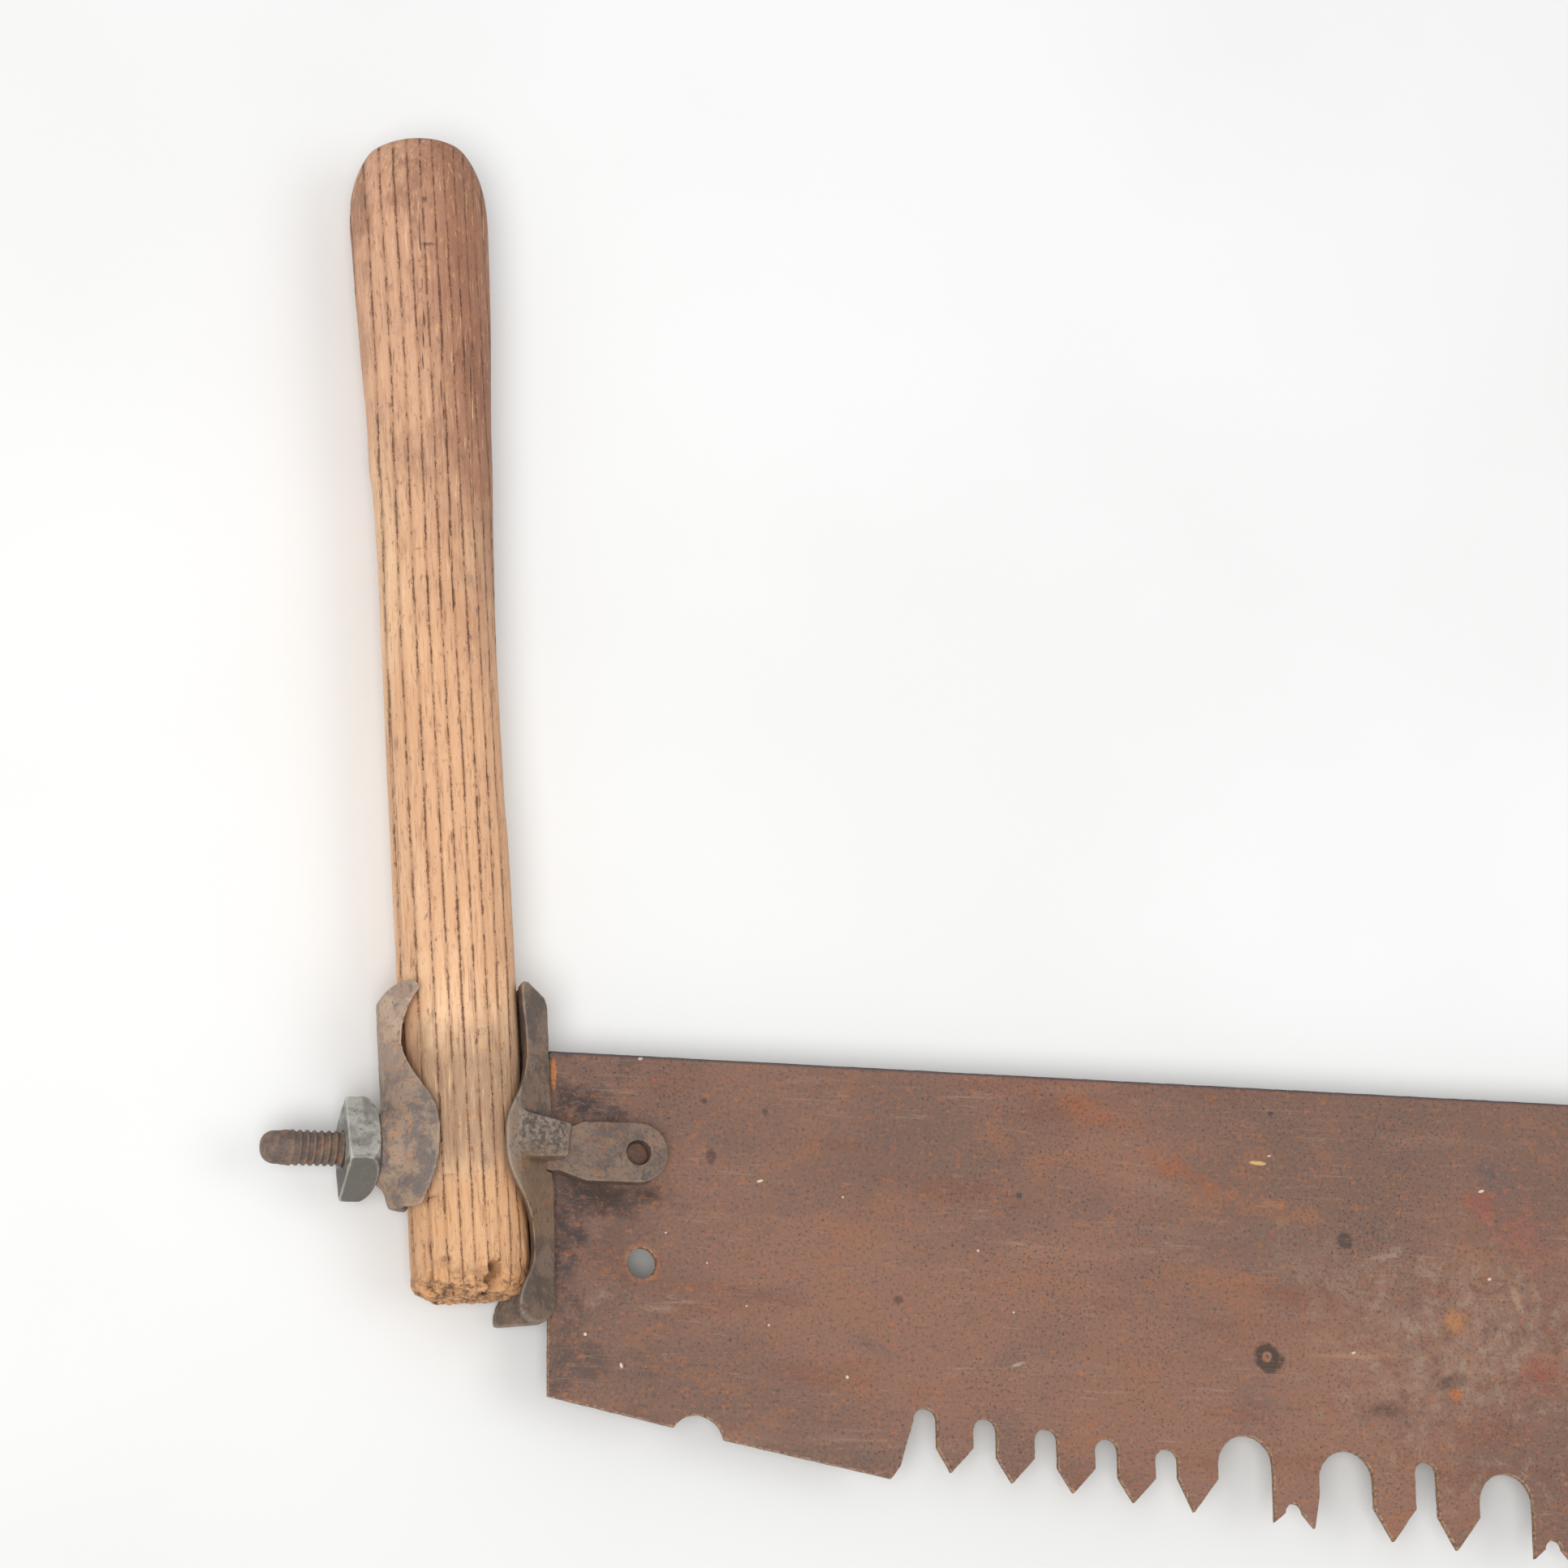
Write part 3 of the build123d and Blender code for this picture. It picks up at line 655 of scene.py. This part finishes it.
def nut_mesh(end):
    return reskinned(frame["nodes"][f"{end.side}_square_nut"].data.copy(), 0.34, 5)


def saddle_mesh(end, which):
    """Re-skinned casting; the back one's seat for the nut runs smoothly into its cup."""
    skin = reskinned(frame["nodes"][f"{end.side}_{which}_saddle"].data.copy(), 0.42, 7)
    if which == "front":
        return skin
    inverse = np.array(end.bolt_matrix().inverted())
    points = points_of(skin)
    local = points @ inverse[:3, :3].T + inverse[:3, 3] / MM
    from_axis = np.hypot(local[:, 0], local[:, 1])
    share = ease(local[:, 2], 64, 66) * ease(from_axis, 9.6, 11) * ease(from_axis, 22, 17)
    joined = neighbours(skin)
    smooth = relaxed(points, joined, SEAT_ROUNDS)
    set_points(skin, points + share[:, None] * (smooth - points))
    return skin


def pin_mesh(end):
    return reskinned(frame["nodes"][f"{end.side}_hitch_pin"].data.copy(), 0.24, 3)


def nut_lower_face_shade(g, colour):
    """Painted shade: the nut's lower faces are darkened as if turned away from the light."""
    return g.mix(colour, srgb(72, 67, 60), g.ease(g.axis("Y"), BOLT_Y - 0.0055, BOLT_Y - 0.0070, 0.0, 0.95))


def back_patches(g, colour):
    """The back saddle is blue-grey where it bulges and pale brown above."""
    blue = g.noise(85, 6, 0.75, shift=(2, 6, 3))
    bulge = g.window(g.axis("Y"), BOLT_Y - 0.016, BOLT_Y + 0.014, 0.014)
    tone = g.mix(srgb(156, 132, 112), srgb(96, 89, 90), g.ease(blue, 0.44, 0.56))
    return g.mix(colour, tone, g.math("MULTIPLY", bulge, 0.90))


def front_patches(g, colour):
    """The lug over the bolt is blackened and pitted, and brown iron shows below it."""
    across = g.math("ABSOLUTE", g.axis("X"))
    lug = g.math("MULTIPLY", g.window(across, plate_high.x - 0.003, plate_high.x + 0.0118, 0.0010),
                 g.window(g.axis("Y"), BOLT_Y - 0.0036, BOLT_Y + 0.0092, 0.0010))
    black = g.ease(g.noise(620, 4, 0.7, shift=(5, 1, 9)), 0.40, 0.56)
    tone = g.mix(srgb(148, 130, 116), srgb(66, 60, 60), black)
    colour = g.mix(colour, tone, g.math("MULTIPLY", lug, 0.85))
    rim = g.math("MULTIPLY", g.window(across, plate_high.x + 0.0122, plate_high.x + 0.030, 0.0010),
                 g.window(g.axis("Y"), BOLT_Y - 0.012, BOLT_Y + 0.016, 0.016))
    colour = g.mix(colour, srgb(160, 140, 122), g.math("MULTIPLY", rim, 0.60))
    brown = g.math("MULTIPLY", g.window(g.axis("Y"), BOLT_Y - 0.024, BOLT_Y - 0.006, 0.008),
                   g.window(across, plate_high.x - 0.004, plate_high.x + 0.010, 0.006))
    return g.mix(colour, srgb(128, 98, 68), g.math("MULTIPLY", brown, 0.60))


BOLT_Y = ends[0].pin.y
bolt_iron = iron("bolt_rust", srgb(126, 104, 90), srgb(90, 77, 72), srgb(54, 49, 50),
                 srgb(148, 98, 66), srgb(178, 156, 136), 3, pitted=1.0, rusty=0.70, edge_share=0.28)
pin_iron = iron("pin_rust", srgb(104, 74, 56), srgb(84, 62, 50), srgb(56, 44, 40),
                srgb(140, 86, 54), srgb(140, 108, 88), 9, pitted=0.6, rusty=0.6)
# the nut's iron carries painted shade on its lower faces
nut_iron = iron("nut_oxide_and_shade", srgb(168, 166, 158), srgb(118, 116, 110), srgb(80, 78, 75),
                srgb(150, 126, 100), srgb(206, 202, 192), 5, pitted=0.70, rusty=0.20, edge_share=0.70,
                specular=0.45, local=nut_lower_face_shade)
back_iron = iron("back_saddle_iron", srgb(196, 168, 144), srgb(158, 136, 120), srgb(88, 78, 76),
                 srgb(184, 130, 90), srgb(200, 180, 160), 2, pitted=0.65, rusty=0.75, edge_share=0.15,
                 local=back_patches)
front_iron = iron("front_saddle_iron", srgb(124, 103, 88), srgb(82, 71, 65), srgb(54, 49, 50),
                  srgb(146, 102, 64), srgb(188, 168, 150), 7, pitted=0.75, rusty=0.65, edge_share=0.30,
                  local=front_patches)

for number, end in enumerate(ends):
    side, seed = end.side, 40 * number
    fork = weather(bolt_mesh(end), seed + 1, 0.10, 0.06, 0.12, 1.1, 0.22)
    placed(f"{side}_forked_bolt", fork, "saw_frame", f"{side}_draw_bolt", bolt_iron)
    peg = weather(pin_mesh(end), seed + 2, 0.05, 0.05, 0.08, 1.0, 0.15)
    placed(f"{side}_peg", peg, "saw_frame", f"{side}_hitch_pin", pin_iron)
    nut = weather(nut_mesh(end), seed + 3, 0.16, 0.05, 0.10, 1.5, 0.14)
    placed(f"{side}_nut", nut, f"{side}_square_nut_body", f"{side}_square_nut", nut_iron)
    back = weather(saddle_mesh(end, "back"), seed + 4, 0.16, 0.06, 0.11, 1.2, 0.20)
    placed(f"{side}_back_casting", back, f"{side}_back_saddle_body", f"{side}_back_saddle",
           back_iron)
    front = weather(saddle_mesh(end, "front"), seed + 5, 0.16, 0.08, 0.13, 1.3, 0.24)
    placed(f"{side}_front_casting", front, f"{side}_front_saddle_body", f"{side}_front_saddle",
           front_iron)


# ---------------------------------------------------------------- grips
GRIP_COLUMNS = 264
GRIP_ROW = 0.85
BORE_RADIUS = 5.8
CROWN_HEIGHT, CROWN_SQUASH = 6.0, 0.42
RING_TURN = 14.0
RING_WIDTH, RING_NARROWING = 4.0, 0.075

# angle round the grip, height, half width round it, half height, depth and darkness
DENTS = [
    (94, 279, 5.0, 0.7, 0.35, 0.8), (100, 272, 3.0, 0.5, 0.2, 0.5), (66, 232, 3.5, 0.6, 0.3, 0.7),
    (119, 182.5, 2.6, 0.6, 0.25, 0.6), (86, 117, 3.0, 0.35, 0.15, 0.4), (87, 108, 3.2, 0.35, 0.15, 0.4),
    (75, 82, 3.5, 0.4, 0.15, 0.2), (177, 55, 2.2, 3.2, 1.0, 0.9), (139, -14.5, 3.6, 1.0, 0.5, 0.6),
    (120, -9, 4.0, 0.8, 0.3, 0.5), (97, 294, 1.6, 2.0, 0.3, 0.7), (128, -33, 4.0, 1.6, 0.7, 0.55),
    (146, -37, 1.5, 2.2, 1.4, 0.9), (110, -38, 1.6, 1.4, 0.8, 0.7), (95, -40, 2.2, 1.6, 0.8, 0.6),
    (240, 150, 3.5, 0.8, 0.3, 0.5), (300, 60, 3.0, 0.8, 0.3, 0.5), (210, 240, 2.5, 1.5, 0.4, 0.6),
]
# angle, height, half width, half height, depth: rot holes at the lower end
ROT = [(76, -37.5, 2.9, 3.6, 7.5), (70, -42.0, 3.0, 2.8, 8.5), (84, -39.5, 2.2, 1.8, 4.0),
       (158, -41.5, 3.2, 3.0, 3.2), (128, -43.0, 5.0, 1.6, 1.8), (262, -41, 5.0, 3.0, 3.0)]
# angle, lowest and highest point, half width and depth: long checks along the grain
CHECKS = [(88, 150, 296, 0.12, 0.5), (104, 226, 300, 0.10, 0.3), (60, 190, 262, 0.10, 0.3),
          (250, 20, 190, 0.30, 1.2), (320, 120, 280, 0.22, 0.7), (165, 60, 150, 0.2, 0.5)]


def grip_profile(end, matrix):
    """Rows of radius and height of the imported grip, evenly spaced along its outline."""
    inverse = np.array(matrix.inverted())
    points = points_of(frame["nodes"][f"{end.side}_grip"].data) * MM
    local = (points @ inverse[:3, :3].T + inverse[:3, 3]) / MM
    radius = np.hypot(local[:, 0], local[:, 2])
    heights = np.round(local[:, 1], 1)
    bottom, top = heights.min(), heights.max()
    outer = sorted({(h, radius[heights == h].max()) for h in set(heights)})
    outer = [(h, r) for h, r in outer if r > BORE_RADIUS + 0.5 and not -12 < h < 12]
    line = np.array([(0, bottom)] + [(r, h) for h, r in outer] + [(0, top)])
    reach = np.concatenate([[0], np.cumsum(np.linalg.norm(np.diff(line, axis=0), axis=1))])
    even = np.linspace(0, reach[-1], int(reach[-1] / GRIP_ROW))
    return np.column_stack([np.interp(even, reach, line[:, k]) for k in (0, 1)]), top, bottom


def ring_field(x, y, z, seed):
    """Growth rings as a number that grows by one a ring, for points of the grip."""
    points = np.column_stack([x, y / 9, z])
    wander = 0.55 * noise(points, 9.0, seed, 2) + 0.16 * noise(points, 1.6, seed + 3, 2)
    turn = math.radians(RING_TURN)
    across = x * math.cos(turn) + z * math.sin(turn) + wander
    return -np.log(RING_WIDTH - RING_NARROWING * across) / RING_NARROWING


def grip_mesh(end, seed):
    matrix = end.grip_matrix()
    profile, top, bottom = grip_profile(end, matrix)
    fields = {}

    def carve(r, angle, height):
        flat_r, flat_a, flat_h = r.ravel(), angle.ravel(), height.ravel()
        x, z = flat_r * np.cos(flat_a), flat_r * np.sin(flat_a)
        spots = np.column_stack([x, flat_h, z])
        ring = ring_field(x, flat_h, z, seed)
        phase = np.abs((ring % 1.0) - 0.5) * 2
        ragged = noise(spots * [1, 0.2, 1], 1.1, seed + 9, 2)
        groove = ease(phase + 0.12 * ragged, 0.88, 1.0)
        stretched = spots * [1, 0.08, 1]
        fibre = noise(stretched, 0.9, seed + 2, 2)
        clear = 1 - 0.75 * ease(np.abs(flat_h - 15), 42, 34)
        change = 0.30 * noise(spots, 34.0, seed + 6, 2) * clear - 0.12
        change += 0.06 * fibre * clear - 0.20 * groove
        change += 0.10 * noise(spots * [1, 0.35, 1], 4.5, seed + 4, 2) * clear

        # the silhouette steps where flats were worn or whittled
        left = np.cos(flat_a - math.pi)
        change -= 0.55 * ease(left, 0.55, 0.95) * ease(flat_h, 214, 206) * ease(flat_h, 150, 190)
        right = np.cos(flat_a)
        change -= 0.5 * ease(right, 0.45, 0.9) * ease(flat_h, 92, 110) * ease(flat_h, 240, 170)
        head = ease(flat_h, 205, 235) * ease(flat_h, 308, 285)
        change -= head * (0.9 * ease(left, 0.2, 0.9) + 0.6 * ease(right, 0.2, 0.9))

        dark, crack = np.zeros_like(flat_r), np.zeros_like(flat_r)
        rough = noise(spots, 2.2, seed + 21, 2)
        for where, level, wide, tall, deep, shade in DENTS:
            along = (np.angle(np.exp(1j * (flat_a - math.radians(where)))) * flat_r) / wide
            mark = ease(np.hypot(along, (flat_h - level) / tall) + 0.35 * rough, 1.1, 0.35)
            change -= deep * mark
            dark = np.maximum(dark, shade * mark)
        for where, low, high, wide, deep in CHECKS:
            drift = 0.9 * noise(np.column_stack([flat_h * 0, flat_h, flat_h * 0]), 26.0, seed + int(where), 2)
            along = np.angle(np.exp(1j * (flat_a - math.radians(where)))) * flat_r - drift
            span = ease(flat_h, low, low + 12) * ease(flat_h, high, high - 12)
            thick = wide * (0.7 + 0.5 * ragged)
            mark = ease(np.abs(along), thick + 0.30, thick * 0.2) * span * ease(ragged, -0.55, 0.10)
            change -= deep * mark
            crack = np.maximum(crack, mark)

        # rough, rotted foot
        foot = ease(flat_h, bottom + 13, bottom + 1)
        change -= foot * (0.60 + 0.95 * noise(spots, 3.0, seed + 13, 3)) * ease(flat_r, 2, 9)
        splinter = np.abs(noise(spots * [1, 0.3, 1], 2.4, seed + 15, 2))
        change -= 0.5 * ease(flat_h, bottom + 26, bottom + 6) * ease(splinter, 0.10, 0.0)
        for where, level, wide, tall, deep in ROT:
            along = (np.angle(np.exp(1j * (flat_a - math.radians(where)))) * flat_r) / wide
            mark = ease(np.hypot(along, (flat_h - level) / tall) + 0.3 * rough, 1.15, 0.5)
            mark *= ease(flat_r, 6, 11)
            change -= deep * mark
            dark = np.maximum(dark, mark)
        crown = ease(flat_r, 0.5, 6)
        pad = [0.0]
        fields["ring"] = np.concatenate([pad, ring, pad])
        fields["dark"] = np.concatenate([pad, dark, pad])
        fields["crack"] = np.concatenate([pad, crack, pad])
        fields["foot"] = np.concatenate([[1.0], foot, pad])
        return np.maximum(flat_r + change * crown, 0.2).reshape(r.shape)

    mesh = turned_mesh(f"{end.side}_handle", profile, GRIP_COLUMNS, carve)
    points = points_of(mesh)

    # ragged end face
    spots = points.copy()
    foot = ease(points[:, 2], bottom + 5, bottom)
    points[:, 2] += foot * (1.5 + 2.0 * noise(spots, 4.2, seed + 17, 3))
    crown = np.maximum(points[:, 2] - (top - CROWN_HEIGHT), 0)
    points[:, 2] -= CROWN_SQUASH * crown
    set_points(mesh, points)
    for name, values in fields.items():
        store(mesh, name, values)
    # the turned skin is made about z; lay it along the grip's own y
    mesh.transform(Matrix.Rotation(-math.pi / 2, 4, "X") @ Matrix.Scale(-1, 4, (0, 1, 0)))
    mesh.flip_normals()
    return mesh, matrix


def bored(mesh, matrix, end):
    """Cuts the bolt's hole through the grip."""
    cutter_mesh = bpy.data.meshes.new("cutter")
    work = bmesh.new()
    bmesh.ops.create_cone(work, cap_ends=True, segments=48, radius1=BORE_RADIUS * MM,
                          radius2=BORE_RADIUS * MM, depth=60 * MM)
    work.to_mesh(cutter_mesh)
    work.free()
    cutter = bpy.data.objects.new("cutter", cutter_mesh)
    scene.collection.objects.link(cutter)
    cutter.matrix_world = end.bolt_matrix() @ Matrix.Translation((0, 0, BORE_FROM_PIN * MM))
    block = bpy.data.objects.new("block", mesh)
    scene.collection.objects.link(block)
    block.matrix_world = matrix
    cut = block.modifiers.new("Bore", "BOOLEAN")
    cut.operation, cut.solver, cut.object = "DIFFERENCE", "EXACT", cutter
    graph = bpy.context.evaluated_depsgraph_get()
    result = bpy.data.meshes.new_from_object(block.evaluated_get(graph))
    for scratch in (cutter, block):
        bpy.data.objects.remove(scratch)

    # keep the grip's own coordinates for its grain, then lay it in its place
    own = np.empty(len(result.vertices) * 3, np.float32)
    result.vertices.foreach_get("co", own)
    result.attributes.new("grain", "FLOAT_VECTOR", "POINT").data.foreach_set("vector", own)
    result.transform(matrix)
    return result


def grip_wood():
    g = Graph("grip_wood", specular=0.25)
    g.where = g.node("ShaderNodeAttribute", attribute_name="grain").outputs["Vector"]
    height = g.axis("Y")
    side = g.axis("X")
    ring = g.field("ring")

    # long colour change from the pale foot to the stained head; the head is also darker on its side towards
    # the blade, partly a real stain and partly painted shade
    drift = g.ease(g.noise(34, 4, 0.6, stretch=(1, 0.3, 1)), 0.38, 0.62)
    pale = g.mix(srgb(246, 204, 164), srgb(222, 174, 136), drift)
    # real stain with painted shade: the head darkens across its width towards the blade side
    head = g.mix(srgb(214, 166, 136), srgb(160, 114, 92), g.ease(side, -0.016, 0.010))
    dusk = g.noise(58, 5, 0.68, stretch=(1, 0.55, 1), shift=(6, 3, 2))
    head = g.mix(head, srgb(140, 98, 82), g.ease(dusk, 0.48, 0.62, 0.0, 0.60))
    stain_and_shade = g.math("ADD", height, g.math("MULTIPLY", g.math("SUBTRACT", g.noise(30, 5, 0.65), 0.5), 0.12))
    stain_and_shade = g.math("ADD", stain_and_shade, g.math("MULTIPLY", side, 1.8))
    colour = g.mix(pale, head, g.ease(stain_and_shade, 0.12, 0.26))
    band = g.math("ADD", g.math("SUBTRACT", height, 0.012),
                  g.math("MULTIPLY", g.math("SUBTRACT", dusk, 0.5), 0.04))
    colour = g.mix(colour, srgb(160, 130, 106), g.ease(g.math("ABSOLUTE", band), 0.034, 0.008, 0.0, 0.80))
    low = g.math("ADD", height, g.math("MULTIPLY", g.math("SUBTRACT", dusk, 0.5), 0.03))
    colour = g.mix(colour, srgb(206, 156, 112), g.ease(low, -0.006, -0.016, 0.0, 0.70))

    # fibres and golden or dark flecks
    fibre = g.noise(1100, 4, 0.68, stretch=(1, 0.07, 1))
    colour = g.mix(colour, srgb(142, 98, 72), g.ease(fibre, 0.52, 0.72, 0.0, 0.62))
    colour = g.mix(colour, srgb(250, 208, 160), g.ease(fibre, 0.45, 0.28, 0.0, 0.55))
    fleck = g.noise(560, 5, 0.75, stretch=(1, 0.40, 1), shift=(4, 2, 7))
    colour = g.mix(colour, srgb(232, 166, 98), g.ease(fleck, 0.57, 0.68, 0.0, 0.60))
    colour = g.mix(colour, srgb(120, 80, 60), g.ease(fleck, 0.43, 0.32, 0.0, 0.62))

    # pores: a ragged, broken line along each ring and short dashes beside it
    part = g.math("FRACT", ring)
    phase = g.math("MULTIPLY", g.math("ABSOLUTE", g.math("SUBTRACT", part, 0.5)), 2.0)
    colour = g.mix(colour, srgb(150, 104, 76), g.ease(phase, 0.45, 1.0, 0.0, 0.42))
    ragged = g.math("SUBTRACT", g.noise(1150, 5, 0.8, stretch=(1, 0.55, 1), shift=(1, 1, 3)), 0.5)
    broken = g.noise(210, 4, 0.65, stretch=(1, 0.5, 1), shift=(9, 5, 2))
    width = g.ease(broken, 0.32, 0.62, -0.16, 0.09)
    line = g.math("ADD", g.math("ADD", phase, g.math("MULTIPLY", ragged, 0.84)), width)
    pores = g.ease(line, 0.93, 1.04)
    deep = g.mix(srgb(142, 102, 78), srgb(84, 62, 50),
                 g.ease(g.noise(90, 3, 0.6, shift=(2, 6, 1)), 0.42, 0.62))
    colour = g.mix(colour, deep, g.math("MULTIPLY", pores, 0.72))
    dash = g.noise(1000, 2, 0.6, stretch=(1, 0.16, 1), shift=(5, 8, 4))
    dash = g.math("ADD", dash, g.math("MULTIPLY", phase, 0.10))
    colour = g.mix(colour, srgb(104, 74, 56), g.ease(dash, 0.71, 0.78, 0.0, 0.60))
    crack = g.ease(g.field("crack"), 0.35, 0.85)
    colour = g.mix(colour, srgb(44, 32, 28), g.math("MULTIPLY", crack, 0.85))

    # knocks, and the rotted foot
    colour = g.mix(colour, srgb(64, 46, 38), g.ease(g.field("dark"), 0.15, 0.95, 0.0, 0.85))
    rot = g.ease(g.noise(260, 5, 0.75, shift=(3, 3, 3)), 0.44, 0.60)
    foot = g.mix(srgb(214, 160, 112), srgb(104, 76, 58), rot)
    colour = g.mix(colour, foot, g.math("MULTIPLY", g.field("foot"), 0.80))
    grey = g.ease(g.noise(130, 5, 0.7, stretch=(1, 0.6, 1), shift=(8, 1, 1)), 0.58, 0.70, 0.0, 0.38)
    colour = g.mix(colour, srgb(132, 112, 98), grey)
    relief = g.math("SUBTRACT", g.math("MULTIPLY", fibre, -0.5), g.math("MULTIPLY", pores, 0.8))
    relief = g.math("ADD", relief, g.math("MULTIPLY", fleck, 0.45))
    return g.finish(colour, g.ease(fibre, 0.3, 0.7, 0.62, 0.80), relief, 0.00040, 0.9)


wood = grip_wood()
for number, end in enumerate(ends):
    skin, at = grip_mesh(end, 7 + 50 * number)
    skin = bored(skin, at, end)
    placed(f"{end.side}_handle", skin, f"{end.side}_grip_body", f"{end.side}_grip", wood)


# ---------------------------------------------------------------- floor, light and camera
def floor():
    g = Graph("floor_paint_and_shade", specular=0.2)
    tone = g.ease(g.noise(3.5, 4, 0.5), 0.3, 0.7)
    colour = g.mix(srgb(240, 241, 241), srgb(235, 236, 235), tone)
    # painted shade: the floor is darkened towards negative y
    colour = g.mix(colour, srgb(214, 215, 213), g.ease(g.axis("Y"), -0.05, -0.45))
    paint = g.finish(colour, 0.7)
    mesh = bpy.data.meshes.new("floor")
    reach = 6.0
    corners = [(-reach, -reach, 0), (reach, -reach, 0), (reach, reach, 0), (-reach, reach, 0)]
    mesh.from_pydata(corners, [], [(0, 1, 2, 3)])
    mesh.materials.append(paint)
    made = bpy.data.objects.new("floor", mesh)
    scene.collection.objects.link(made)


def area_light(name, position, target, size, energy, tint=(1, 1, 1)):
    light = bpy.data.lights.new(name, "AREA")
    light.shape, light.size, light.energy, light.color = "DISK", size, energy, tint
    made = bpy.data.objects.new(name, light)
    scene.collection.objects.link(made)
    made.location = position
    made.rotation_euler = (Vector(target) - Vector(position)).to_track_quat("-Z", "Y").to_euler()


floor()
world = bpy.data.worlds.new("studio")
world.use_nodes = True
world.node_tree.nodes["Background"].inputs["Color"].default_value = (1.0, 1.0, 1.0, 1.0)
world.node_tree.nodes["Background"].inputs["Strength"].default_value = 0.50
scene.world = world
area_light("key", (-1.75, -0.95, 2.7), (-0.8, 0.1, 0.0), 1.6, 56.0, (1.0, 0.995, 0.985))
area_light("fill", (1.0, -0.3, 3.0), (0.6, 0.0, 0.0), 2.2, 22.0)
scene.view_settings.view_transform = "Standard"

SEEN_FROM = (-1.10787, -0.32372, 1.17456)
SEEN_TURNED = (16.5309, -16.4300, -0.6645)
LENS, SENSOR = 93.168, 36.0
camera = bpy.data.cameras.new("camera")
camera.sensor_width = SENSOR
camera.lens = LENS
camera.clip_start, camera.clip_end = 0.05, 50.0
seen_from = bpy.data.objects.new("camera", camera)
scene.collection.objects.link(seen_from)
seen_from.location = SEEN_FROM
seen_from.rotation_euler = [math.radians(angle) for angle in SEEN_TURNED]
scene.camera = seen_from
